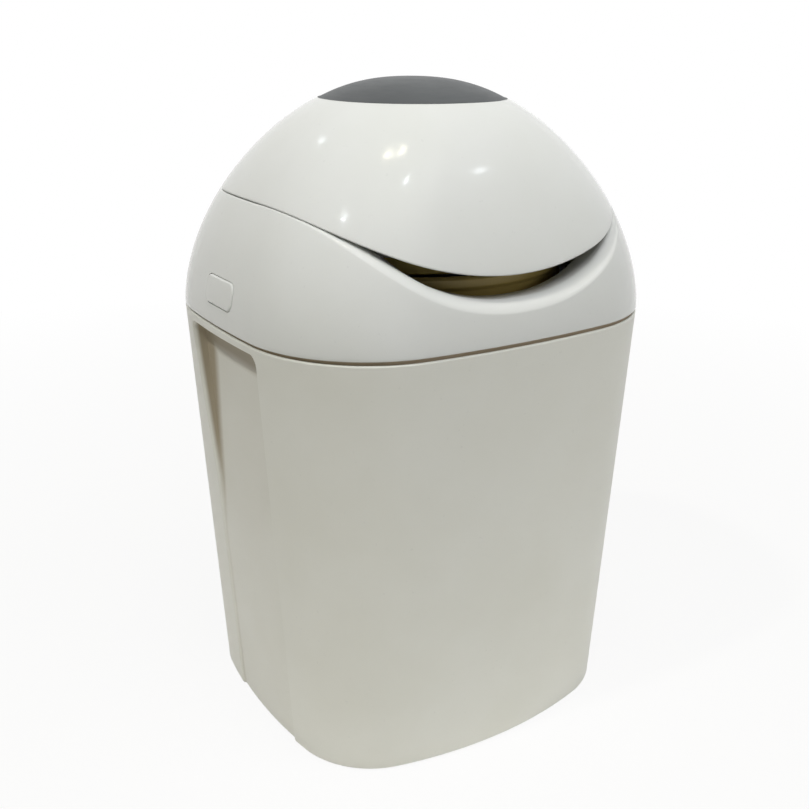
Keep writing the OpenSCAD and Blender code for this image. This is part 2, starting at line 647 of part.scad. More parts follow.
module deck() {
    color([0.72, 0.72, 0.70]) difference() {
        union() {
            difference() {
                translate([0, 0, deck_z]) linear_extrude(height = 7)
                    polygon([for (a = ring_angles) plan_point(seam_plan, a)
                        - (hood_wall + deck_gap) * [cos(a), sin(a)]]);
                translate([0, 0, deck_top]) linear_extrude(height = 7)
                    polygon([for (a = ring_angles) plan_point(seam_plan, a)
                        - (hood_wall + deck_gap + 2) * [cos(a), sin(a)]]);
            }
            translate([0, 0, well_floor_z])
                cylinder(r = well_r + carrier_wall, h = deck_top - well_floor_z - over);
            ring_of(flange_r + carrier_gap, retainer_r, deck_top - over, retainer_z - over);
            for (a = lug_angles) translate([lug_ring * cos(a), lug_ring * sin(a), deck_top - over])
                cylinder(r = boss_r, h = retainer_z - deck_top);
            mirrored() latch_guide();
        }
        translate([0, 0, well_floor_z + carrier_wall]) cylinder(r = well_r, h = well_depth + 20);
        translate([0, 0, deck_top]) cylinder(r = flange_r + carrier_gap, h = 20);
        translate([0, 0, well_floor_z - over]) cylinder(r = throat_r, h = 2 * well_depth);
        for (a = boss_angles) translate([boss_place(a)[0], boss_place(a)[1], deck_z - over])
            cylinder(r = screw_r + screw_hole_gap, h = deck_plate + 2 * over);
        for (a = boss_angles) translate([boss_place(a)[0], boss_place(a)[1], deck_top])
            cylinder(r = boss_r + 0.6, h = 10);
        for (a = lug_angles) translate([lug_ring * cos(a), lug_ring * sin(a),
                                        retainer_z - screw_length + 2])
            cylinder(r = screw_r, h = screw_length);
        for (a = grip_screw_angles)
            translate([grip_screw_r * cos(a), grip_screw_r * sin(a), well_floor_z - over])
                cylinder(r = screw_r, h = carrier_wall + 2 * over);
        mirrored() block([latch_x - latch_thick - latch_slot, -latch_width / 2 - guide_gap,
                          deck_z - over],
                         [latch_x + latch_nose + 0.5, latch_width / 2 + guide_gap,
                          deck_top + 2 * over]);
    }
}
// Two rails beside the latch arm and the wall that its spring pushes on
module latch_guide() {
    half = latch_width / 2 + guide_gap;
    for (side = [-1, 1]) translate([spring_seat_x, side * (half + 1) - 1, deck_top - over])
        cube([latch_x - spring_seat_x + 3, 2, guide_top - deck_top]);
    translate([spring_seat_x - spring_seat_thick, -half - 2, deck_top - over])
        cube([spring_seat_thick + over, 2 * half + 4, guide_top - deck_top]);
}
module deck_screws() {
    color([0.70, 0.71, 0.73]) for (a = boss_angles)
        translate([boss_place(a)[0], boss_place(a)[1], deck_z]) screw();
}
module carrier_retainer() {
    color([0.80, 0.80, 0.78]) difference() {
        union() {
            ring_of(carrier_r + carrier_gap, retainer_r, retainer_z, retainer_z + retainer_h);
            for (a = lug_angles) translate([lug_ring * cos(a), lug_ring * sin(a), retainer_z])
                cylinder(r = boss_r, h = retainer_h);
        }
        for (a = lug_angles) translate([lug_ring * cos(a), lug_ring * sin(a), retainer_z - over])
            cylinder(r = screw_r + screw_hole_gap, h = retainer_h + 2 * over);
        translate([0, 0, retainer_z - over])
            cylinder(r = carrier_r + carrier_gap, h = retainer_h + 2 * over);
    }
}
module retainer_screws() {
    color([0.70, 0.71, 0.73]) for (a = lug_angles)
        translate([lug_ring * cos(a), lug_ring * sin(a), retainer_z + retainer_h])
            mirror([0, 0, 1]) screw_short();
}
module screw_short() {
    cylinder(r = screw_r - screw_fit, h = screw_length - 4);
    translate([0, 0, -screw_head_h]) cylinder(r = screw_head_r, h = screw_head_h);
}

// Film grip and cutter -------------------------------------------------------------

grip_r = throat_r + 1;           // inner radius of the film grip's collar
grip_wall = 2;
grip_flange_r = grip_r + 12;
grip_screw_angles = [30, 150, 210, 330];
grip_screw_r = grip_r + 7.5;
finger_drop = 20;                // how far the fingers fall towards their tips
finger_thick = 1.6;
finger_slot = 3;
grip_flange_h = 2.4;
grip_seat = 0.05;                // gap between the grip's flange and the well
module film_grip() {
    z = well_floor_z;
    color([0.62, 0.63, 0.64]) difference() {
        rotate_extrude() polygon([
            [grip_r, z - grip_seat], [grip_flange_r, z - grip_seat],
            [grip_flange_r, z - grip_flange_h], [grip_r + grip_wall, z - grip_flange_h],
            [grip_r + grip_wall, z - grip_height],
            [finger_mouth, z - grip_height - finger_drop],
            [finger_mouth, z - grip_height - finger_drop + finger_thick],
            [grip_r, z - grip_height + finger_thick]]);
        for (i = [0:finger_count - 1]) rotate([0, 0, (i + 0.5) * 360 / finger_count])
            translate([finger_mouth - 1, -finger_slot / 2, z - grip_height - finger_drop - 1])
                cube([grip_r - finger_mouth - 3, finger_slot, finger_drop + finger_thick + 2]);
        for (a = grip_screw_angles)
            translate([grip_screw_r * cos(a), grip_screw_r * sin(a), z - 3])
                cylinder(r = screw_r + screw_hole_gap, h = 4);
        block([-cutter_width / 2 - 1, -grip_flange_r - 1, z - 12],
              [cutter_width / 2 + 1, -grip_r + 3, z - 4]);
    }
}
module grip_screws() {
    color([0.70, 0.71, 0.73]) for (a = grip_screw_angles)
        translate([grip_screw_r * cos(a), grip_screw_r * sin(a), well_floor_z - grip_flange_h])
            screw_tiny();
}
module screw_tiny() {
    cylinder(r = screw_r - screw_fit, h = carrier_wall + 2);
    translate([0, 0, -screw_head_h]) cylinder(r = screw_head_r, h = screw_head_h);
}

cutter_wall = 1.6;
cutter_half = cutter_width / 2;
thumb_half = 3;                  // half the width of the thumb piece under the slide
thumb_drop = 7;
thumb_length = 6;
blade_slot = 4;                  // half the width of the slot that holds the blade
blade_half = 3.8;
blade_thick = 0.6;
blade_seat = 3.3;                // depth of the blade's underside below the slide's top
cutter_z = well_floor_z - 5;     // top of the cutter's slide
cutter_back = -(well_r + carrier_wall) - 1;
cutter_front = -grip_r - grip_wall - 0.6;
cutter_tub_gap = 7;              // how far the slide's end stays from the tub's wall
cutter_slide_back = cutter_tub_gap - tub_point(90, cutter_z, tub_wall)[1];
cutter_slide_front = cutter_front - cutter_travel - 0.4;
module cutter_housing() {
    outer = cutter_half + close + cutter_wall;
    color([0.62, 0.63, 0.64]) difference() {
        block([-outer, cutter_back + 2, cutter_z - cutter_height - close - cutter_wall],
              [outer, cutter_front, well_floor_z - 2.6]);
        block([-cutter_half - close, cutter_back, cutter_z - cutter_height - close],
              [cutter_half + close, cutter_front + 1, cutter_z + close]);
        block([-thumb_half - close, cutter_back, cutter_z - cutter_height - 5],
              [thumb_half + close, cutter_front + 1, cutter_z - cutter_height + 1]);
    }
}
module cutter_slide() {
    color([0.85, 0.45, 0.20]) difference() {
        union() {
            block([-cutter_half, cutter_slide_back, cutter_z - cutter_height],
                  [cutter_half, cutter_slide_front, cutter_z]);
            block([-thumb_half, cutter_slide_front - 2 - thumb_length,
                   cutter_z - cutter_height - thumb_drop],
                  [thumb_half, cutter_slide_front - 2, cutter_z - cutter_height + over]);
        }
        block([-blade_slot, cutter_slide_front - 10, cutter_z - blade_seat - 0.2],
              [blade_slot, cutter_slide_front + 1, cutter_z - blade_seat + blade_thick + 0.2]);
    }
}
module cutter_blade() {
    color([0.80, 0.81, 0.83]) translate([0, 0, cutter_z - blade_seat])
        linear_extrude(height = blade_thick) polygon([
            [-blade_half, cutter_slide_front - 9.5], [blade_half, cutter_slide_front - 9.5],
            [blade_half, cutter_front + 0.2], [0, cutter_front + 4],
            [-blade_half, cutter_front + 0.2]]);
}

// Carrier and cassette -------------------------------------------------------------

carrier_floor_z = well_floor_z + carrier_wall + close;
grip_depth = 3;                  // how far the carrier's finger grips stand out
grip_length = 11;
grip_thick = 4;
carrier_bead = 1.5;              // how far the bead round the carrier's rim stands out
module carrier() {
    z = carrier_floor_z;
    color([0.62, 0.54, 0.32]) {
        rotate_extrude() polygon([
            [throat_r, z], [carrier_r, z], [carrier_r, deck_top + close],
            [flange_r, deck_top + close], [flange_r, deck_top + close + flange_h],
            [carrier_r, deck_top + close + flange_h], [carrier_r, carrier_top - 8],
            [carrier_r + carrier_bead, carrier_top - 6],
            [carrier_r + carrier_bead, carrier_top - carrier_bead],
            [carrier_r, carrier_top], [carrier_r - carrier_wall, carrier_top],
            [carrier_r - carrier_wall, z + carrier_wall], [throat_r, z + carrier_wall]]);
        for (i = [0:grip_count - 1]) rotate([0, 0, i * 360 / grip_count])
            translate([carrier_r - 0.4, -grip_thick / 2, retainer_z + retainer_h + 1.2])
                cube([grip_depth + 0.8, grip_thick, grip_length]);
    }
}
tray_z = carrier_floor_z + carrier_wall;
tray_top = tray_z + cassette_h;
cover_z = tray_top - 1;
module cassette_tray() {
    color([0.84, 0.86, 0.88]) rotate_extrude() polygon([
        [cassette_hole_r, tray_z], [cassette_r, tray_z], [cassette_r, cover_z],
        [cassette_r - cassette_wall, cover_z],
        [cassette_r - cassette_wall, tray_z + cassette_wall],
        [cassette_hole_r + cassette_wall, tray_z + cassette_wall],
        [cassette_hole_r + cassette_wall, cover_z - 4], [cassette_hole_r, cover_z - 4]]);
}
cover_lip = 3;                   // gap that the film comes out of
module cassette_cover() {
    r = cassette_hole_r + cassette_wall + cover_lip;
    color([0.80, 0.83, 0.86]) rotate_extrude() polygon([
        [r, cover_z - 6], [r + 1.4, cover_z - 6], [r + 1.4, cover_z],
        [cassette_r - cassette_wall - 1.6, cover_z], [cassette_r - cassette_wall - 1.6, cover_z - 5],
        [cassette_r - cassette_wall - 0.2, cover_z - 5], [cassette_r - cassette_wall - 0.2, cover_z],
        [cassette_r, cover_z], [cassette_r, cover_z + 1.6], [r, cover_z + 1.6]]);
}
film_gap = 0.8;                  // gap between the film and the cassette's walls
pack_top = cover_z - 12;
pack_base = tray_z + cassette_wall + 0.1;
module film_pack() {
    r0 = cassette_hole_r + cassette_wall + film_gap;
    r1 = cassette_r - cassette_wall - film_gap;
    step = (pack_top - pack_base) / pleat_count;
    color([0.90, 0.92, 0.94]) rotate_extrude() polygon(concat(
        [for (i = [0:pleat_count - 1]) each [[r1 - 2, pack_base + i * step],
                                             [r1, pack_base + (i + 0.5) * step]]],
        [[r1 - 2, pack_top], [r0 + 2, pack_top]],
        [for (i = [pleat_count - 1:-1:0]) each [[r0, pack_base + (i + 0.5) * step],
                                                [r0 + 2, pack_base + i * step]]]));
}
film_thick = 0.8;
film_tail_z = well_floor_z - 60; // lower end of the gathered film
knot_half = 7;                   // radius of the gathered end
module film_sleeve() {
    r = cassette_hole_r - film_gap;
    r_out = cassette_hole_r + cassette_wall + film_gap;
    z = cover_z - 3.6;
    g = well_floor_z;
    tip_z = g - grip_height - finger_drop;
    color([0.92, 0.94, 0.95]) {
        rotate_extrude() polygon([
            [r, z], [r_out, z], [r_out, z - 6], [r_out + film_thick, z - 6],
            [r_out + film_thick, z + film_thick], [r - film_thick, z + film_thick],
            [r - film_thick, g + 8], [finger_mouth + 12, g - grip_height + 4],
            [finger_mouth - 8, g - grip_height - 14], [0, tip_z - 4],
            [0, film_tail_z], [knot_half, film_tail_z], [4, tip_z - 10],
            [finger_mouth - 8 + film_thick, g - grip_height - 15],
            [finger_mouth + 12 + film_thick, g - grip_height + 3], [r, g + 6.5]]);
    }
}

// Buttons and latches --------------------------------------------------------------

button_flange = 2;               // thickness and overhang of the flange behind the hood
button_flange_z = button_z + button_height / 2 + button_flange;
button_flange_x = dome_xy(0, dome_t(button_flange_z, hood_wall), hood_wall)[0] - close - 0.4;
stem_half_width = 8;
stem_half_height = 5;
latch_foot = 5;                  // height of the latch nose
latch_tip = 1.5;                 // height of its tip
module button() {
    color([0.88, 0.88, 0.86]) {
        difference() {
            translate([button_flange_x - over, 0, button_z]) rotate([90, 0, 90])
                linear_extrude(height = 20) button_outline(0);
            translate([button_face_x, 0, button_z]) rotate([0, -button_slope, 0])
                translate([0, -button_length, -button_height])
                    cube([20, 2 * button_length, 2 * button_height]);
        }
        translate([button_flange_x - button_flange, 0, button_z]) rotate([90, 0, 90])
            linear_extrude(height = button_flange) button_outline(button_flange);
        block([latch_x, -stem_half_width, button_z - stem_half_height],
              [button_flange_x - button_flange + over, stem_half_width,
               button_z + stem_half_height]);
    }
}
nose_z = catch_z - close;        // top of the latch nose, under its catch
module latch() {
    color([0.62, 0.63, 0.64]) {
        block([latch_x - latch_thick, -latch_width / 2, nose_z - latch_foot],
              [latch_x, latch_width / 2, button_z + stem_half_height]);
        translate([0, latch_width / 2, 0]) rotate([90, 0, 0]) linear_extrude(height = latch_width)
            polygon([[latch_x - over, nose_z], [latch_x + latch_nose, nose_z],
                     [latch_x + latch_nose, nose_z - latch_tip],
                     [latch_x - over, nose_z - latch_foot]]);
    }
}
spring_wire = 0.35;              // radius of the wire
spring_r = 3.6;
spring_steps = 12;
spring_end_gap = 0.1;
spring_drop = 3;                 // how far the spring lies under the middle of the button
module button_spring() {
    x0 = spring_seat_x + spring_wire + spring_end_gap;
    length = spring_length - 2 * (spring_wire + spring_end_gap) + close;
    count = spring_turns * spring_steps;
    color([0.70, 0.71, 0.73]) skin([for (i = [0:count])
        let (a = i * 360 / spring_steps, c = [x0 + length * i / count, spring_r * cos(a),
                                              button_z - spring_drop + spring_r * sin(a)])
        [for (k = [0:5]) c + spring_wire * (cos(-k * 60) * [0, cos(a), sin(a)]
            + sin(-k * 60) * [1, 0, 0])]]);
}

module button_left() { mirror([1, 0, 0]) button(); }
module button_right() { button(); }
module latch_left() { mirror([1, 0, 0]) latch(); }
module latch_right() { latch(); }
module button_spring_left() { mirror([1, 0, 0]) button_spring(); }
module button_spring_right() { button_spring(); }

tub();
hood_hinge_pins();
hood();
deck();
deck_screws();
carrier_retainer();
retainer_screws();
film_grip();
grip_screws();
lid_hinge_pins();
button_left();
button_right();
latch_left();
latch_right();
button_spring_left();
button_spring_right();
lid();
lid_cap();
lid_liner();
liner_screws();
lid_seal();
carrier();
cassette_tray();
cassette_cover();
film_pack();
film_sleeve();
cutter_housing();
cutter_slide();
cutter_blade();
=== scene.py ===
# %% [markdown]
# This lesson dresses a nappy bin: a tapered tub, a domed hood that is hinged on its back,
# a lid that is hinged on the hood, two push buttons in the hood's sides, and the twist
# carrier with its ring cassette of film inside. The solids of the working part come in as
# a fixed frame. The shells that everyone sees are built again here with many more points,
# and every piece gets a finish of its own. Lengths are thought of in millimetres.

# %% The frame, and the box of the working part
import bpy
import bmesh
import numpy as np
from mathutils import Matrix, Vector


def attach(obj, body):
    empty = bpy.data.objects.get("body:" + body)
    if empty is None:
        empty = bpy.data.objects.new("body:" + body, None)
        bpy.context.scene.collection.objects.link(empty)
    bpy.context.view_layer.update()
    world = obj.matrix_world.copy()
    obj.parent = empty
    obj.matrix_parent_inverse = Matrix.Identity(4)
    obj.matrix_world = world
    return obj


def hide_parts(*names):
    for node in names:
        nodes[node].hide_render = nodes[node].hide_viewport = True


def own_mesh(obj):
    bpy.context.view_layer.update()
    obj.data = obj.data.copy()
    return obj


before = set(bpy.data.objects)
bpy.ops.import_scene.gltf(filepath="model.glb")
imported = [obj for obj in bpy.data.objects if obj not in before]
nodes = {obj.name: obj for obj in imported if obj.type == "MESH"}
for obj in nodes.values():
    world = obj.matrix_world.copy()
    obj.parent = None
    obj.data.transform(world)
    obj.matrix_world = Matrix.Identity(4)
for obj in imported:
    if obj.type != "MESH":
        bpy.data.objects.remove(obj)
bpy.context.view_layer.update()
MM = 0.001

# %% [markdown]
# The camera stands a little above the bin and to its left, so that the front, the left
# side and the top are all seen. It is rolled by half a degree, as a hand holds it. Its
# axes are worked out from where it points, because that leaves nothing to guess.

# %% Camera
def add_object(name, data):
    thing = bpy.data.objects.new(name, data)
    bpy.context.scene.collection.objects.link(thing)
    return thing

pitch, roll = 0.355, 0.009
camera_spot = (-0.3487, -0.5336, 0.4291)
render_width, focal_length = 809, 1027.73  # both in pixels
heading, level = np.array([0.5430, 0.8398, 0.0]), np.array([0.8398, -0.5430, 0.0])
forward = heading * np.cos(pitch) + np.array([0, 0, -np.sin(pitch)])
upright = np.cross(level, forward)
right = level * np.cos(roll) + upright * np.sin(roll)
up = -level * np.sin(roll) + upright * np.cos(roll)
camera = add_object("camera", bpy.data.cameras.new("camera"))
place = Matrix.Identity(4)
for row in range(3):
    place[row] = (right[row], up[row], -forward[row], camera_spot[row])
camera.matrix_world = place
camera.data.sensor_fit = "HORIZONTAL"
camera.data.angle = 2 * np.arctan(render_width / 2 / focal_length)
camera.data.clip_start = 0.01
bpy.context.scene.camera = camera
print("camera opens", round(np.degrees(camera.data.angle), 2), "degrees")

# %% [markdown]
# The world, the finishes and the trees for what repeats are all made of nodes. One helper
# adds a node, sets it up and wires its inputs, and the others are short names for the
# nodes that are used most.

# %% Nodes in one line
def wire(tree, made, wires):
    """Give inputs of a node, by name or number, a plain value or another node's output."""
    for socket, value in wires.items():
        if isinstance(value, bpy.types.NodeSocket):
            tree.links.new(value, made.inputs[socket])
        else:
            made.inputs[socket].default_value = value

def add_node(tree, kind, wires, out=0, **settings):
    """Add a node, set it up, wire it, and give back one of its outputs."""
    made = tree.nodes.new(kind)
    for name, value in settings.items():
        setattr(made, name, value)
    wire(tree, made, wires)
    return made.outputs[out]

def calc(tree, operation, first, second=0.0, clamp=False):
    return add_node(tree, "ShaderNodeMath", {0: first, 1: second}, operation=operation,
                    use_clamp=clamp)

def spread(tree, value, low, high, out_low, out_high):
    """Stretch the range from low to high onto another range, and stop at its ends."""
    return add_node(tree, "ShaderNodeMapRange", {"Value": value, "From Min": low,
                    "From Max": high, "To Min": out_low, "To Max": out_high}, "Result")

def blend_colours(tree, amount, first, second):
    first, second = ((*c, 1) if isinstance(c, tuple) else c for c in (first, second))
    return add_node(tree, "ShaderNodeMix", {0: amount, 6: first, 7: second}, 2,
                    data_type="RGBA")

def noise(tree, where, scale, detail=2.0, rough=0.5, stretch=None):
    if stretch is not None:
        where = add_node(tree, "ShaderNodeMapping", {"Vector": where, "Scale": stretch})
    return add_node(tree, "ShaderNodeTexNoise", {"Vector": where, "Scale": scale,
                    "Detail": detail, "Roughness": rough}, "Fac")

def seen_directly(tree):
    """1 for a ray from the camera, from a reflection or through glass, and else 0."""
    rays = tree.nodes.new("ShaderNodeLightPath")
    total = rays.outputs["Is Camera Ray"]
    for kind in ("Is Glossy Ray", "Is Transmission Ray"):
        total = calc(tree, "ADD", total, rays.outputs[kind], clamp=True)
    return total

print("node helpers ready")

# %% [markdown]
# The light is plain: a wide soft panel overhead, a small strong key high on the left, whose
# shadow draws the edge of each recess, and a soft panel from the front right that shapes
# the dome. Six very small lamps make the bright spots that tell the eye the lid is glossy.
# Each one stands where its mirror image falls on the lid as seen by the camera, and the
# first three leave no mirror image. The sky is white where it is seen, and soft and warm
# where it only lights.

# %% Light
aim = Vector((0, 0, 0.22))
def panel(name, spot, size, watts, tone):
    """A round lamp that faces the middle of the bin."""
    lamp = bpy.data.lights.new(name, "AREA")
    lamp.shape, lamp.size, lamp.energy, lamp.color = "DISK", size, watts, tone
    holder = add_object(name, lamp)
    holder.location = spot
    holder.rotation_euler = (aim - Vector(spot)).to_track_quat("-Z", "Y").to_euler()
    return holder

for name, spot, size, watts, tone in (
        ("overhead", (-0.05, -0.65, 1.8), 1.2, 17, (0.975, 0.985, 1)),
        ("key", (-1.12, -0.1, 1.95), 0.12, 14, (1, 0.985, 0.93)),
        ("right_front", (1.3, -1.3, 0.9), 0.9, 4.5, (0.97, 0.99, 1))):
    panel(name, spot, size, watts, tone).visible_glossy = False
cold, warm = (0.87, 0.94, 1), (1, 0.93, 0.7)
for number, (spot, size, watts, tone) in enumerate([
        ((-1.05, -0.27, 1.72), 0.05, 0.8, cold), ((-0.11, -0.70, 1.94), 0.07, 0.5, cold),
        ((0.90, -0.86, 1.57), 0.05, 0.28, cold), ((-0.41, 1.10, 1.60), 0.05, 0.2, cold),
        ((-0.21, -0.07, 2.06), 0.15, 0.85, warm), ((-0.04, -0.17, 2.05), 0.13, 0.85, warm)]):
    panel(f"spot_{number}", spot, size, watts, tone)
world = bpy.data.worlds.new("studio")
bpy.context.scene.world = world
world.use_nodes = True
air = world.node_tree
air.nodes.clear()
soft = add_node(air, "ShaderNodeBackground", {"Color": (1, 0.96, 0.86, 1), "Strength": 0.10})
white = add_node(air, "ShaderNodeBackground", {"Color": (1, 1, 1, 1), "Strength": 1.0})
sky = add_node(air, "ShaderNodeMixShader", {0: seen_directly(air), 1: soft, 2: white})
wire(air, air.nodes.new("ShaderNodeOutputWorld"), {"Surface": sky})
bpy.context.scene.view_settings.view_transform = "Standard"
print("lamps:", len(bpy.data.lights))

# %% [markdown]
# Moulded plastic is never one flat colour. Under the light it has cloudy patches where
# the wall is thicker, a very fine skin from the polished mould, and hairline rubs from
# cleaning. One recipe makes all of these from noise that is fixed to the object, and the
# values that are the same everywhere are set on the shader itself.

# %% A recipe for moulded plastic
def new_material(name):
    material = bpy.data.materials.new(name)
    material.use_nodes = True
    tree = material.node_tree
    where = add_node(tree, "ShaderNodeTexCoord", {}, "Object")
    return material, tree, tree.nodes["Principled BSDF"], where

def relief(tree, shader, heights):
    """Bumps on bumps, each with its height, its distance in metres and its strength."""
    normal = {}
    for height, distance, strength in heights:
        normal = {"Normal": add_node(tree, "ShaderNodeBump", {"Height": height,
                  "Distance": distance, "Strength": strength, **normal}, "Normal")}
    wire(tree, shader, normal)

def moulded(name, colour, patch, gloss, spread_of_gloss=0.05, patch_scale=14, skin=0.25,
            wave=0.0, glow=0.0, coat=0.0, mirror=0.5):
    material, tree, shader, where = new_material(name)
    clouds = spread(tree, noise(tree, where, patch_scale, 3), 0.38, 0.66, 0, 1)
    specks = spread(tree, noise(tree, where, 420, 1), 0.72, 0.80, 0, 0.35)
    rubs = noise(tree, where, 60, 4, 0.7, (1, 1, 9))
    dark = tuple(c * 0.86 for c in colour)
    wire(tree, shader, {
        "Base Color": blend_colours(tree, specks, blend_colours(tree, clouds, colour, patch),
                                    dark),
        "Roughness": spread(tree, rubs, 0.35, 0.75, gloss - spread_of_gloss,
                            gloss + spread_of_gloss),
        "IOR": 1.5, "Specular IOR Level": mirror})
    relief(tree, shader, [(noise(tree, where, 22, 2), 0.0004, wave),
                          (noise(tree, where, 1500, 2), 0.00003, skin)])
    if coat:
        wire(tree, shader, {"Coat Weight": coat, "Coat Roughness": 0.08})
    if glow:
        wire(tree, shader, {"Subsurface Weight": glow, "Subsurface Scale": 0.006,
                            "Subsurface Radius": (1.0, 0.95, 0.8)})
    return material

glossy_white = moulded("glossy_white_plastic", (0.708, 0.72, 0.703), (0.688, 0.70, 0.675), 0.15,
                       wave=0.05, coat=0.08, mirror=0.35)
milky_tub = moulded("milky_tub_plastic", (0.855, 0.857, 0.80), (0.83, 0.83, 0.765), 0.45,
                    0.06, 15, wave=0.08, mirror=0.25)
satin_grey = moulded("satin_grey_plastic", (0.088, 0.094, 0.097), (0.080, 0.085, 0.088), 0.5,
                     patch_scale=30, wave=0.03, mirror=0.2)
print("shell finishes:", glossy_white.name, milky_tub.name, satin_grey.name)

# %% [markdown]
# Seen from above, the bin is a rounded rectangle whose sides all bow outward. Four arcs
# of different radius meet smoothly at each corner, so a point of the outline is found
# from the direction that it faces. The same rule gives the floor, the seam and, through
# the dome's powers, every height of the hood and lid.

# %% The outline of the bin
def arc_cross(p0, r0, p1, r1):
    apart = np.linalg.norm(p1 - p0)
    along = (p1 - p0) / apart
    reach = (r0 * r0 - r1 * r1 + apart * apart) / (2 * apart)
    rise = np.sqrt(max(0.0, r0 * r0 - reach * reach))
    return p0 + reach * along + rise * np.array([-along[1], along[0]])

class Outline:
    def __init__(self, half_width, half_depth, front_arc, side_arc, corner):
        self.side_centre = np.array([half_width - side_arc, 0.0])
        self.front_centre = np.array([0.0, half_depth - front_arc])
        self.side_arc, self.front_arc, self.corner = side_arc, front_arc, corner
        self.corner_centre = arc_cross(self.side_centre, side_arc - corner,
                                       self.front_centre, front_arc - corner)
        c = self.corner_centre
        self.side_end = np.arctan2(c[1], c[0] - self.side_centre[0])
        self.front_start = np.arctan2(c[1] - self.front_centre[1], c[0])

    def point(self, facing):
        facing = np.asarray(facing, float)
        n = np.stack([np.abs(np.cos(facing)), np.abs(np.sin(facing))], -1)
        q = np.arctan2(n[..., 1], n[..., 0])[..., None]
        found = np.where(q < self.side_end, self.side_centre + self.side_arc * n,
                         np.where(q < self.front_start, self.corner_centre + self.corner * n,
                                  self.front_centre + self.front_arc * n))
        return found * np.stack([np.where(np.cos(facing) < 0, -1, 1),
                                 np.where(np.sin(facing) < 0, -1, 1)], -1)

seam_z, top_z = 266.0, 400.0
floor_half_x, seam_half_x, seam_half_y = 116.6, 132.0, 116.3
at_seam = Outline(seam_half_x, seam_half_y, 572.0, 619.0, 77.2)
at_floor = Outline(floor_half_x, 109.4, 279.8, 344.0, 56.0)
print("corner arcs run from", [round(float(np.degrees(a)), 1) for a in
      (at_seam.side_end, at_seam.front_start, at_floor.side_end, at_floor.front_start)])

# %% Points of the tub's side and of the dome
def facing_way(facing):
    return np.stack([np.cos(facing), np.sin(facing)], -1)

def tub_point(facing, z, inset=0.0):
    facing, z, inset = np.broadcast_arrays(facing, z, inset)
    k = (z / seam_z)[..., None]
    flat = at_floor.point(facing) * (1 - k) + at_seam.point(facing) * k
    flat = flat - inset[..., None] * facing_way(facing)
    return np.concatenate([flat, z[..., None]], -1)

dome_h, crown = top_z - seam_z, 124.1
rise_power, width_power, round_power = 1.631, 2.397, 2.387
def dome_t(z, inset=0.0):
    return (z - seam_z) / (dome_h - inset)

def narrowing(t):
    """How much of its width the dome still has at a share t of its height."""
    return (1 - np.clip(t, 0, 1) ** rise_power) ** (1 / width_power)

def t_of(narrow):
    """The share of the dome's height at which it has narrowed to this."""
    return (1 - narrow ** width_power) ** (1 / rise_power)

def dome_point(facing, t, inset=0.0):
    facing, t, inset = np.broadcast_arrays(facing, t, inset)
    turn = (np.clip(t, 0, 1) ** round_power)[..., None]
    n = facing_way(facing)
    flat = (at_seam.point(facing) - inset[..., None] * n) * (1 - turn)
    flat = (flat + (crown - inset[..., None]) * n * turn) * narrowing(t)[..., None]
    return np.concatenate([flat, (seam_z + t * (dome_h - inset))[..., None]], -1)

lid_back_z, lid_front_z, lid_gap = 336.0, 303.0, 0.8
lid_side_x = float(dome_point(0.0, dome_t(lid_back_z))[0])
lid_rise = lid_back_z - lid_front_z
lid_arc = (lid_side_x ** 2 + lid_rise ** 2) / (2 * lid_rise)
def lid_edge(p):
    x = np.clip(np.abs(p[..., 0]), 0, lid_side_x)
    front = lid_front_z + lid_arc - np.sqrt(lid_arc ** 2 - x ** 2)
    return np.where(p[..., 1] > 0, lid_back_z, front)

scoop_low, scoop_rise, scoop_half, scoop_power = 282.5, 46.0, 102.0, 2.3
def scoop_edge(p):
    return scoop_low + scoop_rise * (np.abs(p[..., 0]) / scoop_half) ** scoop_power

lip_round, lip_least = 8.5, 0.9
def scoop_free(p):
    """How free of the lid the scoop is here, from 0 to 1."""
    room = np.clip((lid_edge(p) - lid_gap - scoop_edge(p)) / lip_round, 0, 1)
    return np.where(p[..., 1] > 0, 0, room)

def hood_edge(p):
    radius = lip_least + (lip_round - lip_least) * scoop_free(p)
    front = np.minimum(scoop_edge(p) + 0.85 * radius, lid_edge(p) - lid_gap)
    return np.where(p[..., 1] > 0, lid_back_z - lid_gap, front)

def halve(low, high, beyond):
    """Halve the range from low to high 40 times, down to where beyond turns true."""
    for _ in range(40):
        middle = (low + high) / 2
        past = beyond(middle)
        high, low = np.where(past, middle, high), np.where(past, low, middle)
    return (low + high) / 2

def meet(facing, edge):
    """The share of the dome's height at which it meets the edge, for each facing angle."""
    def above(t):
        p = dome_point(facing, t)
        return p[..., 2] > edge(p)
    return halve(np.zeros_like(facing), np.full_like(facing, 0.75), above)

print("the lid's side corner is", round(lid_side_x, 1), "mm from the middle")

# %% [markdown]
# Every shell is a net: rows of points that match one to one. A helper turns a net into a
# closed mesh, with flat ends or joined into a ring. Edges that turn sharply stay sharp,
# and everything else is shaded smooth.

# %% From a net of points to a mesh
def full_turn(count):
    return np.linspace(0, 2 * np.pi, count, endpoint=False)

def quarter(radius, count):
    """Steps round an edge of this radius: how far along its start and short of its end."""
    return [(radius * (1 - np.cos(a)), radius * (1 - np.sin(a)))
            for a in np.linspace(0, np.pi / 2, count)]

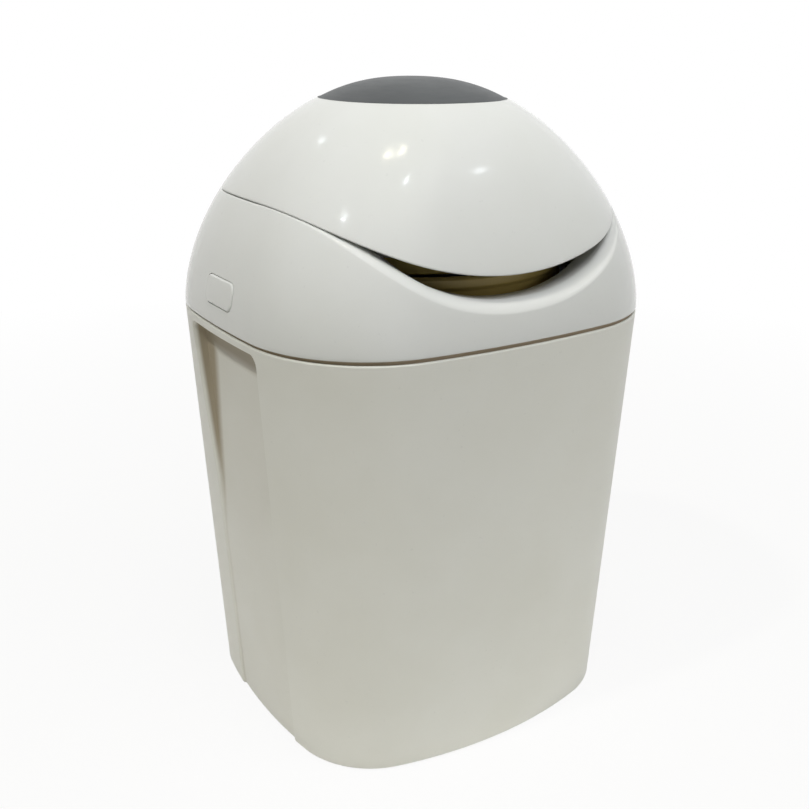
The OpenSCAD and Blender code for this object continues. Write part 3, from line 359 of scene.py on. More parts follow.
def net_mesh(name, rows, ring=False, close_ends=True):
    """Join each row to the next. A ring also joins the last row to the first."""
    rows = np.asarray(rows, float)
    count, around = rows.shape[:2]
    faces = []
    for r in range(count if ring else count - 1):
        a, b = r * around, ((r + 1) % count) * around
        for i in range(around):
            j = (i + 1) % around
            faces.append((a + i, a + j, b + j, b + i))
    if not ring and close_ends:
        faces.append(tuple(range(around - 1, -1, -1)))
        faces.append(tuple((count - 1) * around + i for i in range(around)))
    mesh = bpy.data.meshes.new(name)
    mesh.from_pydata((rows.reshape(-1, 3) * MM).tolist(), [], faces)
    mesh.update()
    return add_object(name, mesh)

def solid(name, rows, **ends):
    """A closed net, with all its faces turned outward."""
    thing = net_mesh(name, rows, **ends)
    work = bmesh.new()
    work.from_mesh(thing.data)
    bmesh.ops.remove_doubles(work, verts=work.verts, dist=1e-7)
    if work.calc_volume(signed=True) < 0:
        bmesh.ops.reverse_faces(work, faces=work.faces)
    work.to_mesh(thing.data)
    work.free()
    return thing

def smooth(thing, angle):
    thing.data.shade_smooth()
    thing.data.set_sharp_from_angle(angle=np.radians(angle))

def finish_piece(thing, material, body, slot, *replaced, angle=32):
    if angle:
        smooth(thing, angle)
    thing.data.materials.clear()
    thing.data.materials.append(material)
    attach(thing, body)
    if replaced:
        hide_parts(*replaced)
    print(f"{thing.name}: {len(thing.data.polygons)} faces on {body}")

# %% [markdown]
# The tub tapers towards the floor, and in each side it has a tall shallow recess for the
# fingers. The recess has an upright floor, so the taper makes it shallow towards the
# base. It is not cut out afterwards: the net's columns crowd together along its two
# upright edges, the rows crowd along its top edge, and the points in between move in.
# That way the rounded edges stay smooth.

# %% Where the recess lies
recess_top, recess_depth, recess_least, recess_round = 260.0, 10.0, 1.5, 7.0
recess_floor_x = float(tub_point(0.0, recess_top, recess_depth)[0])
wall_lean, sides_from = 2.6, 60.0
front_edge, back_at_top, back_at_base, back_slope = -46.0, 45.0, 30.0, 0.147

def back_edge(z):
    return np.maximum(back_at_base, back_at_top - back_slope * (recess_top - z))

def inside_recess(y, z, grow):
    """How far a point of the side is inside the recess's outline, in millimetres."""
    back, front, top = back_edge(z - grow) + grow, front_edge - grow, recess_top + grow
    middle, half = (back + front) / 2, (back - front) / 2
    a = np.abs(y - middle) - (half - recess_round)
    b = z - (top - recess_round)
    outside = np.hypot(np.maximum(a, 0), np.maximum(b, 0)) + np.minimum(np.maximum(a, b), 0)
    return recess_round - outside

def press_in(points, grow):
    y, z = points[..., 1], points[..., 2]
    s = np.clip(inside_recess(y, z, grow) / wall_lean, 0, 1)
    share = s * s * (3 - 2 * s)
    side = np.abs(points[..., 0])
    floor = np.minimum(side - recess_least, recess_floor_x - grow)
    pressed = np.where(side > sides_from, side - (side - floor) * share, side)
    out = points.copy()
    out[..., 0] = np.where(points[..., 0] < 0, -pressed, pressed)
    return out

print("the recess's floor stands", round(recess_floor_x, 2), "mm from the middle")

# %% [markdown]
# The tub's finish paints light and shade into its colour. It is lighter near its floor and
# darker towards the rim, as painted light. Where it is pressed in for the fingers, it
# works out how deep a point lies under the side's curve and paints brown shade on what is
# deep, most of all along the recess's back edge and under its top, where shadow falls.

# %% The tub's finish
tree = milky_tub.node_tree
shader = tree.nodes["Principled BSDF"]
cloudy = shader.inputs["Base Color"].links[0].from_socket
at_x, at_y, at_z = add_node(tree, "ShaderNodeSeparateXYZ", {
    0: add_node(tree, "ShaderNodeTexCoord", {}, "Object")}).node.outputs
# Painted light: the colour is made lighter near the floor and darker towards the rim.
shaded = add_node(tree, "ShaderNodeVectorMath", {
    0: cloudy, "Scale": spread(tree, at_z, 0.01, 0.25, 1.06, 0.90)}, operation="SCALE")
# Painted shade: what lies deep in the recess is tinted brown, most along its back edge and under
# its top, where shadow falls.
side_bow, faint, brown = 1.25, 0.12, (0.40, 0.35, 0.26)
side_x = spread(tree, at_z, 0.0, seam_z * MM, floor_half_x * MM, seam_half_x * MM)
bow = calc(tree, "MULTIPLY", calc(tree, "POWER", at_y, 2.0), side_bow)
depth = calc(tree, "SUBTRACT", calc(tree, "SUBTRACT", side_x, bow),
             calc(tree, "ABSOLUTE", at_x))
near = spread(tree, calc(tree, "ABSOLUTE", at_y), 0.047, 0.050, 1, 0)
pressed = calc(tree, "MULTIPLY", spread(tree, depth, 0.0008, 0.003, 0, 1), near)
edges = calc(tree, "MAXIMUM", spread(tree, at_y, 0.024, 0.032, faint, 1),
             spread(tree, at_z, 0.241, 0.248, faint, 1))
painted_shade = calc(tree, "MULTIPLY", pressed, edges)
wire(tree, shader, {"Base Color": blend_colours(tree, painted_shade, shaded, brown)})
print("the tub's finish has", len(tree.nodes), "nodes")

# %% Columns and rows of the tub
far = np.concatenate([np.linspace(np.pi / 2, at_seam.front_start, 12, endpoint=False),
                      np.linspace(at_seam.front_start, at_floor.side_end, 34)])
near_edge = np.array([-9, -7.5, -6, -4.8, -3.6, -2.8, -2.2, -1.7, -1.2, -.7, -.2, .4, 1.2, 2.5])

def half_ring(z, grow):
    """Facing angles of the right half at one height, from the front round to the back."""
    table = np.linspace(-at_floor.side_end, at_floor.side_end, 241)
    ys = tub_point(table, np.full_like(table, z))[..., 1]
    front, back = front_edge - grow, float(back_edge(z - grow)) + grow
    low, high = front - near_edge[::-1], back + near_edge
    wanted = np.concatenate([np.linspace(ys[0], low[0], 6)[1:], low[1:],
                             np.linspace(low[-1], high[0], 12)[1:-1], high,
                             np.linspace(high[-1], ys[-1], 7)[1:-1]])
    return np.concatenate([-far, np.interp(wanted, ys, table), far[::-1]])

tub_wall, rim_round, foot_round = 2.6, 1.0, 3.0
tub_floor_z, foot_height, foot_ring = 6.0, 3.2, 12.0
rim_least, rim_slope = 0.5, 1.8
def rim_drop(y):
    """How far the rim lies below the seam: least at the back, and more at the front."""
    return rim_least + rim_slope * (seam_half_y - y) / (2 * seam_half_y)

def tub_ring(z, inset, grow=0.0, rim=False, lift=None):
    angles = half_ring(min(z, recess_top + 3), grow)
    half = tub_point(angles, np.full_like(angles, z), inset)
    if rim:
        seam = tub_point(angles, np.full_like(angles, seam_z), inset)[..., 1]
        half = tub_point(angles, z - rim_drop(seam), inset)
    half = press_in(half, grow)
    if lift is not None:
        half[..., 2] = lift
    return np.concatenate([half, half[-2:0:-1] * [-1, 1, 1]])

dense_from, tongue_z = 243, seam_z - 0.3
up_outside = np.r_[np.linspace(foot_round, dense_from, 27)[1:],
                   np.linspace(dense_from, 262.5, 31)[1:]]
down_inside = np.r_[np.linspace(262.9, dense_from, 24),
                    np.linspace(dense_from, tub_floor_z + foot_round, 14)[1:]]
tub_rows = [tub_ring(0, foot_round + foot_ring + 1, lift=foot_height),
            tub_ring(0, foot_round + foot_ring, lift=0.6),
            tub_ring(0, foot_round + foot_ring - 0.6), tub_ring(0, foot_round + 0.3)]
tub_rows += [tub_ring(along, short) for along, short in quarter(foot_round, 6)]
tub_rows += [tub_ring(z, 0) for z in up_outside]
tub_rows += [tub_ring(seam_z - short, along, rim=True) for along, short in quarter(rim_round, 6)]
tub_rows += [tub_ring(seam_z, 1.4, rim=True), tub_ring(seam_z + 0.1, 1.5, rim=True),
             tub_ring(tongue_z - 0.1, 1.5), tub_ring(tongue_z, 1.6),
             tub_ring(tongue_z, tub_wall - 0.1, tub_wall),
             tub_ring(tongue_z - 0.3, tub_wall, tub_wall)]
tub_rows += [tub_ring(z, tub_wall, tub_wall) for z in down_inside]
tub_rows += [tub_ring(tub_floor_z + short, tub_wall + along, tub_wall)
             for along, short in quarter(foot_round, 6)[1:]]
print("tub net:", len(tub_rows), "rows of", len(tub_rows[0]))

# %% [markdown]
# Hinges are small lugs that stand out from the back. A lug is a flat side view, here a
# round eye with a foot that runs into the wall, given a thickness along the hinge line
# and a small bevel, as a mould would leave it.

# %% Lugs and posts
def side_plate(name, outline, x0, x1, bevel=0.4):
    """A plate with this outline in Y and Z, from x0 to x1."""
    plate = solid(name, [[(x, y, z) for y, z in outline] for x in (x0, x1)])
    if bevel:
        work = bmesh.new()
        work.from_mesh(plate.data)
        rim = [e for e in work.edges if len(e.link_faces) == 2
               and e.calc_face_angle(0) > np.radians(50)]
        bmesh.ops.bevel(work, geom=rim, offset=bevel * MM, segments=2, profile=0.5,
                        affect="EDGES")
        work.to_mesh(plate.data)
        work.free()
    return plate

def block(name, low, high, bevel=0.3):
    corners = [(low[1], low[2]), (high[1], low[2]), (high[1], high[2]), (low[1], high[2])]
    return side_plate(name, corners, low[0], high[0], bevel)

def eye(y, z, radius, foot):
    """The tight outline round an eye at y, z and the points of its foot."""
    dots = sorted([(y + radius * np.cos(a), z + radius * np.sin(a)) for a in full_turn(40)] + foot)
    def chain(points):
        kept = []
        for p in points:
            while len(kept) > 1 and np.cross(np.subtract(kept[-1], kept[-2]),
                                             np.subtract(p, kept[-2])) <= 0:
                kept.pop()
            kept.append(p)
        return kept[:-1]
    return chain(dots) + chain(dots[::-1])

def rod(name, start, end, radius, sides=48):
    """A round bar between two points, used as a post or as a cutter."""
    start, end = np.array(start, float), np.array(end, float)
    line = (end - start) / np.linalg.norm(end - start)
    one = np.cross(line, [0, 0, 1] if abs(line[2]) < 0.9 else [1, 0, 0])
    one /= np.linalg.norm(one)
    two = np.cross(line, one)
    turn = full_turn(sides)[:, None]
    ring = radius * (np.cos(turn) * one + np.sin(turn) * two)
    return solid(name, [ring + start, ring + end])

print("a round eye has", len(eye(0, 0, 5, [])), "points")

# %% [markdown]
# Fittings are joined to a shell, and room for what turns is cut out of it. A hinge has
# two places, left and right. At each, a knuckle of one part sits between two ears of the
# other.

# %% Cutting, joining and the two hinges
def keep_result(thing):
    """Make what the modifier shows the piece's own mesh."""
    result = bpy.data.meshes.new_from_object(
        thing.evaluated_get(bpy.context.evaluated_depsgraph_get()))
    thing.modifiers.clear()
    thing.data = result

def cut(thing, cutters):
    for cutter in cutters:
        step = thing.modifiers.new("cut", "BOOLEAN")
        step.operation, step.object, step.solver = "DIFFERENCE", cutter, "EXACT"
        keep_result(thing)
    for cutter in cutters:
        bpy.data.objects.remove(cutter)

def join(thing, others):
    work = bmesh.new()
    work.from_mesh(thing.data)
    for other in others:
        work.from_mesh(other.data)
        bpy.data.objects.remove(other)
    work.to_mesh(thing.data)
    work.free()

knuckle_wide, ear_wide, play, clear = 8.0, 6.0, 0.3, 0.6
class Hinge:
    """Its places are at x on both sides, on a line at y and z, with eyes of this radius."""
    def __init__(self, x, y, z, radius):
        self.x, self.y, self.z, self.radius = x, y, z, radius

    def knuckle(self, side):
        return side * self.x - knuckle_wide / 2, side * self.x + knuckle_wide / 2

    def ears(self, side):
        apart = knuckle_wide / 2 + play + ear_wide / 2
        middles = [side * self.x + end * apart for end in (-1, 1)]
        return [(x - ear_wide / 2, x + ear_wide / 2) for x in middles]

    def plate(self, span, foot):
        """A lug that takes up this span of the hinge line."""
        return side_plate("lug", eye(self.y, self.z, self.radius, foot), *span)

    def room(self, span):
        """A cutter that leaves the other part's lug room to turn."""
        return rod("room", (span[0] - play, self.y, self.z), (span[1] + play, self.y, self.z),
                   self.radius + clear)

hood_hinge, lid_hinge = Hinge(50.0, 121.0, 266.0, 4.9), Hinge(35.0, 101.356, 336.0, 4.4)
print("hinge lines at", [(hinge.y, hinge.z) for hinge in (hood_hinge, lid_hinge)])

# %% The tub
tub = solid("tub_shell", tub_rows)
catch_in, catch_out, fittings = 115.553, 120.4, []
for side in (-1, 1):
    fittings += [hood_hinge.plate(span, [(114.3, 264), (112.5, 250)])
                 for span in hood_hinge.ears(side)]
    low, high = sorted((side * catch_in, side * catch_out))
    fittings.append(block("catch", (low, -14, 250), (high, 14, 254)))
join(tub, fittings)
finish_piece(tub, milky_tub, "base", "tub_white", "tub")
# The groove under the hood gets a brown finish that paints the shadow under the hood's edge. Its
# faces lie above the rim, and not on the lugs.
groove_painted_shade = moulded("groove_painted_shade", (0.36, 0.29, 0.21), (0.32, 0.26, 0.18), 0.6, mirror=0.1)
tub.data.materials.append(groove_painted_shade)
lugs_from, above = 117, 0.02
for face in tub.data.polygons:
    y, z = face.center.y / MM, face.center.z / MM
    if z > seam_z - rim_drop(y) + above and abs(y) < lugs_from:
        face.material_index = 1

# %% [markdown]
# The hood goes up the dome, rolls over a soft lip, runs inward along a ledge that the lid
# closes over, and comes down again inside. Where the scoop leaves the lid free, the lip's
# radius is large enough for fingers, and it tightens where lid and hood meet. The roll runs
# from the dome to the ledge and touches both. It is a true arc where it is tight, and
# flatter where the lip is free.

# %% The hood's net
def dome_columns(step):
    """Facing angles that are about this many millimetres apart along the seam."""
    table = np.linspace(0, 2 * np.pi, 4001)
    path = np.cumsum(np.r_[0, np.linalg.norm(np.diff(at_seam.point(table), axis=0), axis=1)])
    count = int(path[-1] / step / 4) * 4
    return np.interp(np.linspace(0, path[-1], count, endpoint=False), path, table)

columns = dome_columns(2.6)
def dome(t, inset=0.0):
    return dome_point(columns, t, inset)

hood_wall, ledge_drop, hem = 2.5, 0.6, 0.6
t_edge = meet(columns, hood_edge)
edge = dome(t_edge)
outward_way = np.concatenate([facing_way(columns), np.zeros((len(columns), 1))], 1)
climb = edge - dome(t_edge - 0.004)
climb /= np.linalg.norm(climb, axis=1)[:, None]
free = scoop_free(edge)
ledge_width = (10 + 8 * free)[:, None]
inward = -outward_way * ledge_width - np.array([0, 0, ledge_drop])
inward /= np.linalg.norm(inward, axis=1)[:, None]
radius = lip_least + (lip_round - lip_least) * free
turn = np.arccos(np.clip((climb * inward).sum(1), -1, 1))
run = radius * np.tan(turn / 2)
per_t = np.linalg.norm(edge - dome(t_edge - 0.01), axis=1) / 0.01
t_start = t_edge - run / per_t
start, stop = dome(t_start), edge + inward * run[:, None]

hood_rows = [dome(0.0, hood_wall), dome(0.0, hem + 0.1)]
hood_rows += [dome(along / dome_h, short) for along, short in quarter(hem, 4)[1:]]
t_hem = hem / dome_h
hood_rows += [dome(t_hem + (t_start - t_hem) * k) for k in np.linspace(0, 1, 31)[1:]]
flatter = 0.62
weight = (np.cos(turn / 2) * (1 - flatter * free))[:, None]
for u in np.linspace(0, 1, 12)[1:]:
    a, b, c = (1 - u) ** 2, 2 * u * (1 - u) * weight, u * u
    hood_rows.append((a * start + b * edge + c * stop) / (a + b + c))
ledge_end = edge + inward * ledge_width
hood_rows += [stop + (ledge_end - stop) * k for k in (0.5, 0.93)]
rise = np.array([0, 0, 1.0])
hood_rows += [ledge_end - inward * back - rise * fall for back, fall in (
    (0.2, 0.25), (0, 0.7), (0, hood_wall - 0.5), (0.5, hood_wall))]
t_inside = dome_t(edge[:, 2] - hood_wall - ledge_drop - 0.6, hood_wall)
hood_rows += [dome(t_inside * k, hood_wall) for k in np.linspace(1, 0, 12)[:-1]]
print("hood net:", len(hood_rows), "rows of", len(columns))

# %% [markdown]
# The button sits in a window in the hood's side. The window is cut with a boolean, which
# is quick and exact on a closed mesh. The button's own net is rings that shrink from its
# edge to its middle, each point set a little proud of the dome, so it follows the curve.

# %% Button outline and the dome's side
def rounded(half_y, half_z, corner, per_corner=10):
    dots = []
    for n, (sy, sz) in enumerate([(1, 1), (-1, 1), (-1, -1), (1, -1)]):
        for a in np.linspace(0, np.pi / 2, per_corner) + n * np.pi / 2:
            dots.append((sy * (half_y - corner) + corner * np.cos(a),
                         sz * (half_z - corner) + corner * np.sin(a)))
    return np.array(dots)

def dome_side_x(y, z):
    """How far the dome's side stands from the middle at this y and z."""
    t = dome_t(np.asarray(z, float))
    facing = halve(np.full_like(t, -0.5), np.full_like(t, 0.5),
                   lambda middle: dome_point(middle, t)[..., 1] > y)
    return dome_point(facing, t)[..., 0]

button_half_y, button_half_z, button_corner, button_z = 18.0, 8.0, 5.0, 285.5
button_gap, button_proud, button_flange_x, latch_x = 0.4, 0.8, 123.74, 112.853
def button_net(side):
    rows = []
    def ring(inset, x_from_dome=None, x_flat=None, shrink=1.0, grow=0.0):
        dots = rounded(button_half_y - inset + grow, button_half_z - inset + grow,
                       max(0.5, button_corner - inset + grow)) * shrink
        y, z = dots[:, 0], dots[:, 1] + button_z
        x = dome_side_x(y, z) + x_from_dome if x_flat is None else np.full_like(y, x_flat)
        rows.append(np.stack([side * x, y, z], -1))
    edge_round = 1.3
    for shrink in (0.03, 0.25, 0.5, 0.75, 0.92):
        ring(edge_round, button_proud - 0.02, shrink=shrink)
    for along, short in quarter(edge_round, 7):
        ring(short, button_proud - 0.02 - along)
    ring(0, -2.2)
    ring(0, x_flat=button_flange_x)
    ring(0, x_flat=button_flange_x, grow=2)
    ring(0, x_flat=button_flange_x - 2, grow=2)
    return rows

def window_cutter(side):
    dots = rounded(button_half_y + button_gap, button_half_z + button_gap,
                   button_corner + button_gap)
    return solid("window_cutter", [[(side * x, y, z + button_z) for y, z in dots]
                                   for x in (116.0, 140.0)])

print("dome side at the button:", round(float(dome_side_x(0.0, button_z)), 2))

# %% The hood
hood = solid("hood_shell", hood_rows, ring=True)
cutters = [window_cutter(side) for side in (-1, 1)]
for side in (-1, 1):
    cutters += [hood_hinge.room(span) for span in hood_hinge.ears(side)]
    cutters.append(lid_hinge.room(lid_hinge.knuckle(side)))
cut(hood, cutters)
fittings = []
for side in (-1, 1):
    fittings.append(hood_hinge.plate(hood_hinge.knuckle(side), [(114.3, 267.5), (112.8, 279.5)]))
    fittings += [lid_hinge.plate(span, [(98.6, 333.5), (101.0, 325.5)])
                 for span in lid_hinge.ears(side)]
boss_r, boss_in = 4.2, 8
hood_bosses = [tuple(at_seam.point(a) - boss_in * facing_way(a))
               for a in np.radians([35, 145, 215, 325])]
fittings += [rod("boss", (x, y, 268.7), (x, y, 288.7), boss_r) for x, y in hood_bosses]
join(hood, fittings)
finish_piece(hood, glossy_white, "hood_assembly", "hood_white", "hood")

# %% [markdown]
# The lid carries on the same dome. Its lower edge is level at the back and dips in a
# round arc across the front. The rows run from the edge to the seat of the grey cap, and
# are spaced by how the dome narrows, so the flat top doesn't starve of points.

# %% The lid
cap_edge_z, cap_seat_z = 388.0, 385.8
def spots(radius, *degrees):
    """Points at these angles on a circle round the middle."""
    return [(radius * np.cos(a), radius * np.sin(a)) for a in np.radians(degrees)]

def between(t0, t1, k):
    """A height from t0 to t1, stepped evenly by how the dome narrows."""
    return t_of(narrowing(t0) + (narrowing(t1) - narrowing(t0)) * k)

def shrunk_ring(t, shrink, z=None):
    ring = dome(t)
    ring[:, :2] -= shrink * facing_way(columns)
    if z is not None:
        ring[:, 2] = z
    return ring

t_lid = meet(columns, lid_edge)
t_lid_inside = dome_t(dome(t_lid)[:, 2], hood_wall)
t_cap, t_roof = dome_t(cap_edge_z), dome_t(cap_seat_z - hood_wall, hood_wall)
lid_rows = [dome(between(t_lid_inside, t_roof, k), hood_wall) for k in np.linspace(1, 0, 15)]
lid_round = 0.7
lid_rows += [dome(t_lid + along / dome_h, short) for along, short in quarter(lid_round, 5)]
lid_rows += [dome(between(t_lid + lid_round / dome_h, t_cap, k))
             for k in np.linspace(0, 1, 48)[1:-1]]
lid_rows += [shrunk_ring(t_cap, shrink, z) for shrink, z in (
    (0.0, cap_edge_z - 0.12), (0.08, cap_edge_z - 0.02), (0.1, cap_edge_z - 0.1),
    (0.12, cap_seat_z))]
lid = solid("lid_shell", lid_rows)
cutters, fittings = [], []
for side in (-1, 1):
    cutters += [lid_hinge.room(span) for span in lid_hinge.ears(side)]
    fittings.append(lid_hinge.plate(lid_hinge.knuckle(side), [(96.0, 337.4), (95.0, 344.0)]))
cut(lid, cutters)
boss_ring = 58
lid_bosses = spots(boss_ring, 45, 135, 225, 315)
boss_top = seam_z + (dome_h - hood_wall) * t_of(boss_ring / (crown - hood_wall)) + 0.4
fittings += [rod("boss", (x, y, 339.4), (x, y, boss_top), boss_r) for x, y in lid_bosses]
join(lid, fittings)
finish_piece(lid, glossy_white, "lid_assembly", "hood_white", "lid")

# %% The grey cap
cap_gap = 0.4
cap_rows = [shrunk_ring(t_cap, cap_gap, z) for z in (cap_seat_z, cap_edge_z - 0.5)]
cap_rows += [shrunk_ring(t_cap, cap_gap + 0.45 * k * k, cap_edge_z - 0.5 + 0.5 * k)
             for k in (0.35, 0.7, 1.0)]
cap_rows += [shrunk_ring(t_of(narrowing(t_cap) * k), (cap_gap + 0.45) * k ** 4)
             for k in np.linspace(1, 0.012, 30)[1:]]
cap = solid("lid_cap_disc", cap_rows)
finish_piece(cap, satin_grey, "lid_assembly", "cap_grey", "lid_cap")

# %% The buttons
for side, label in ((-1, "left"), (1, "right")):
    push = solid(f"push_button_{label}", button_net(side))
    low, high = sorted((side * latch_x, side * (button_flange_x - 1.9)))
    join(push, [block("stem", (low, -8, button_z - 5), (high, 8, button_z + 5))])
    finish_piece(push, glossy_white, f"{label}_button", "hood_white", f"button_{label}")

# %% [markdown]
# The working parts inside keep the frame's own meshes, which are already exact. They get
# a finish each, and the two button springs each get a mesh of their own.

# %% Finishes for the working parts
def metal(name, colour, rough, brushed=(1, 1, 1)):
    material, tree, shader, where = new_material(name)
    stain = spread(tree, noise(tree, where, 90, 3), 0.4, 0.7, 0, 1)
    grain = noise(tree, where, 300, 3, 0.6, brushed)
    dark = tuple(c * 0.82 for c in colour)
    wire(tree, shader, {"Metallic": 1.0, "Base Color": blend_colours(tree, stain, colour, dark),
         "Roughness": spread(tree, grain, 0.3, 0.7, rough * 0.8, rough * 1.25)})
    relief(tree, shader, [(grain, 0.00002, 0.3)])
    return material

inner_white = moulded("inner_white_plastic", (0.70, 0.70, 0.66), (0.66, 0.655, 0.61), 0.38,
                      skin=0.4)
carrier_olive = moulded("carrier_olive_plastic", (0.43, 0.32, 0.10), (0.39, 0.29, 0.085), 0.42,
                        skin=0.5)
grip_grey = moulded("film_grip_rubber", (0.16, 0.165, 0.17), (0.14, 0.145, 0.15), 0.55, skin=0.7)
seal_rubber = moulded("seal_rubber", (0.52, 0.41, 0.12), (0.48, 0.37, 0.10), 0.6, skin=0.8)
latch_grey = moulded("latch_grey_plastic", (0.30, 0.31, 0.32), (0.27, 0.28, 0.29), 0.4, skin=0.4)
cassette_blue = moulded("cassette_plastic", (0.52, 0.60, 0.66), (0.49, 0.57, 0.63), 0.3, glow=0.1)
film_white = moulded("film", (0.78, 0.80, 0.82), (0.72, 0.75, 0.79), 0.28, wave=0.4)
cutter_orange = moulded("cutter_orange_plastic", (0.75, 0.26, 0.05), (0.70, 0.23, 0.04), 0.35)
pin_steel = metal("pin_steel", (0.62, 0.63, 0.64), 0.22, (1, 12, 12))
screw_steel = metal("screw_steel", (0.58, 0.58, 0.57), 0.35)
spring_steel = metal("spring_steel", (0.5, 0.5, 0.51), 0.3)
blade_steel = metal("blade_steel", (0.7, 0.71, 0.72), 0.18, (20, 1, 1))
for material, names in (
        (pin_steel, ("hood_hinge_pins", "lid_hinge_pins")),
        (inner_white, ("deck", "carrier_retainer")),
        (latch_grey, ("latch_left", "latch_right", "cutter_housing")),
        (spring_steel, ("button_spring_left", "button_spring_right")),
        (cutter_orange, ("cutter_slide",)), (blade_steel, ("cutter_blade",))):
    for name in names:
        nodes[name].data.materials.clear()
        nodes[name].data.materials.append(material)
    print(material.name, "on", ", ".join(names))

# Each button spring gets a mesh of its own.
for side, label in ((-1, "left"), (1, "right")):
    spring = nodes[f"button_spring_{label}"]
    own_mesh(spring)

# %% [markdown]
# Most working parts inside are turned shapes: a side view swept once round the middle.
# A real moulding has no knife edges, so each corner of the side view is rounded a little
# before it is swept. That small roll is what catches the light when the lid is open.

# %% Turned pieces
def soften(outline, radius, steps=3):
    """Round every corner of a closed side view of (radius, height) points."""
    dots = np.array(outline, float)
    soft_outline = []
    for before, corner, after in zip(np.roll(dots, 1, 0), dots, np.roll(dots, -1, 0)):
        back, ahead = before - corner, after - corner
        reach = min(radius, 0.45 * np.linalg.norm(back), 0.45 * np.linalg.norm(ahead))
        start = corner + back / np.linalg.norm(back) * reach
        stop = corner + ahead / np.linalg.norm(ahead) * reach
        for u in np.linspace(0, 1, steps + 1):
            soft_outline.append((1 - u) ** 2 * start + 2 * u * (1 - u) * corner + u * u * stop)
    return soft_outline

def turned(name, outline, radius=0.5, sides=180):
    """A side view turned about the upright axis. One that starts on the axis is solid."""
    solid_core = outline[0][0] == 0
    view = soften(outline, radius)
    if solid_core:
        view = [outline[0]] + [dot for dot in view if dot[0] > 0.05] + [outline[-1]]
    rows = [[(r * np.cos(a), r * np.sin(a), z) for a in full_turn(sides)] for r, z in view]
    return solid(name, rows, ring=not solid_core, close_ends=False)

deck_top, well_floor, carrier_top = 268.5, 240.0, 299.6
carrier_r, flange_r, throat_r, cassette_r, hole_r = 90.9, 94.9, 65.0, 88.0, 62.0
carrier_floor, tray_z, cover_z = 242.7, 245.1, 292.1
flange_z, tray_wall = deck_top + 0.3, 1.6
rib_in, rib_out, rib_z, seal_z = 80.0, 82.4, 305.9, 308.9  # the seal sits on the liner's rib
tray = turned("cassette_tray_moulding", [
    (hole_r, tray_z), (cassette_r, tray_z), (cassette_r, cover_z),
    (cassette_r - tray_wall, cover_z), (cassette_r - tray_wall, tray_z + tray_wall),
    (hole_r + tray_wall, tray_z + tray_wall), (hole_r + tray_wall, cover_z - 4),
    (hole_r, cover_z - 4)])
cover = turned("cassette_cover_moulding", [
    (66.6, cover_z - 6), (68.0, cover_z - 6), (68.0, cover_z), (84.8, cover_z),
    (84.8, cover_z - 5), (86.2, cover_z - 5), (86.2, cover_z), (cassette_r, cover_z),
    (cassette_r, cover_z + tray_wall), (66.6, cover_z + tray_wall)])
seal = turned("lid_seal_ring", [
    (78.0, 299.9), (84.4, 299.9), (84.4, seal_z), (rib_out, seal_z), (rib_out, rib_z),
    (rib_in, rib_z), (rib_in, seal_z), (78.0, seal_z)], 0.9)
print("turned pieces:", tray.name, cover.name, seal.name)

# %% [markdown]
# What repeats is made with Geometry Nodes. One tree takes a piece that is already in its
# place and turns copies of it round the middle. Another puts a screw on every point that
# it is given and spins each by its own random angle, because nobody lines up the slots.
# Both trees end in plain geometry with its finish, so that nothing is left as an instance.

# %% Trees for what repeats
def new_tree(name, **sockets):
    """An empty tree with these inputs. Gives the tree and its inputs by name."""
    tree = bpy.data.node_groups.new(name, "GeometryNodeTree")
    for label, kind in sockets.items():
        tree.interface.new_socket(label, in_out="INPUT", socket_type=f"NodeSocket{kind}")
    tree.interface.new_socket("Geometry", in_out="OUTPUT", socket_type="NodeSocketGeometry")
    return tree, tree.nodes.new("NodeGroupInput").outputs

def close_tree(tree, given, points, piece, angles):
    """Put the piece on the points, turned by the angles, as plain geometry with a finish."""
    turned_by = add_node(tree, "ShaderNodeCombineXYZ", angles)
    copies = add_node(tree, "GeometryNodeInstanceOnPoints", {
        "Points": points, "Instance": piece, "Rotation": turned_by})
    plain = add_node(tree, "GeometryNodeRealizeInstances", {0: copies})
    dressed = add_node(tree, "GeometryNodeSetMaterial", {
        "Geometry": plain, "Material": given["finish"]})
    wire(tree, tree.nodes.new("NodeGroupOutput"), {"Geometry": dressed})
    return tree

def ring_tree():
    tree, given = new_tree("ring_of_copies", piece="Geometry", count="Int", finish="Material")
    points = add_node(tree, "GeometryNodePoints", {"Count": given["count"]})
    share = calc(tree, "DIVIDE", add_node(tree, "GeometryNodeInputIndex", {}), given["count"])
    turn = calc(tree, "MULTIPLY", share, 2 * np.pi)
    return close_tree(tree, given, points, given["piece"], {"Z": turn})

def screw_tree():
    tree, given = new_tree("screws_at_points", points="Geometry", screw="Object",
                           tip_over="Float", seed="Int", finish="Material")
    screw = add_node(tree, "GeometryNodeObjectInfo", {"Object": given["screw"]}, "Geometry")
    low, high, angle = 2, 3, 1  # the sockets for plain numbers
    spin = add_node(tree, "FunctionNodeRandomValue", {low: 0.0, high: 2 * np.pi,
                    "Seed": given["seed"]}, angle, data_type="FLOAT")
    return close_tree(tree, given, given["points"], screw, {"X": given["tip_over"], "Z": spin})

def run_tree(thing, tree, **values):
    """Put the tree on the piece, set its inputs by name, and keep the plain result."""
    step = thing.modifiers.new(tree.name, "NODES")
    step.node_group = tree
    for socket in tree.interface.items_tree:
        if socket.name in values:
            step[socket.identifier] = values[socket.name]
    bpy.context.view_layer.update()
    keep_result(thing)

ring_of_copies, screws_at_points = ring_tree(), screw_tree()
print("trees:", ring_of_copies.name, "and", screws_at_points.name)

# %% [markdown]
# The carrier is the olive ring that the hand turns to twist the film shut. Round it run
# 24 finger grips. One grip is made and rounded, and the ring tree turns it into all of
# them. The liner inside the lid and the film grip's flexible fingers are made in the same
# way: turned first, then cut or joined.

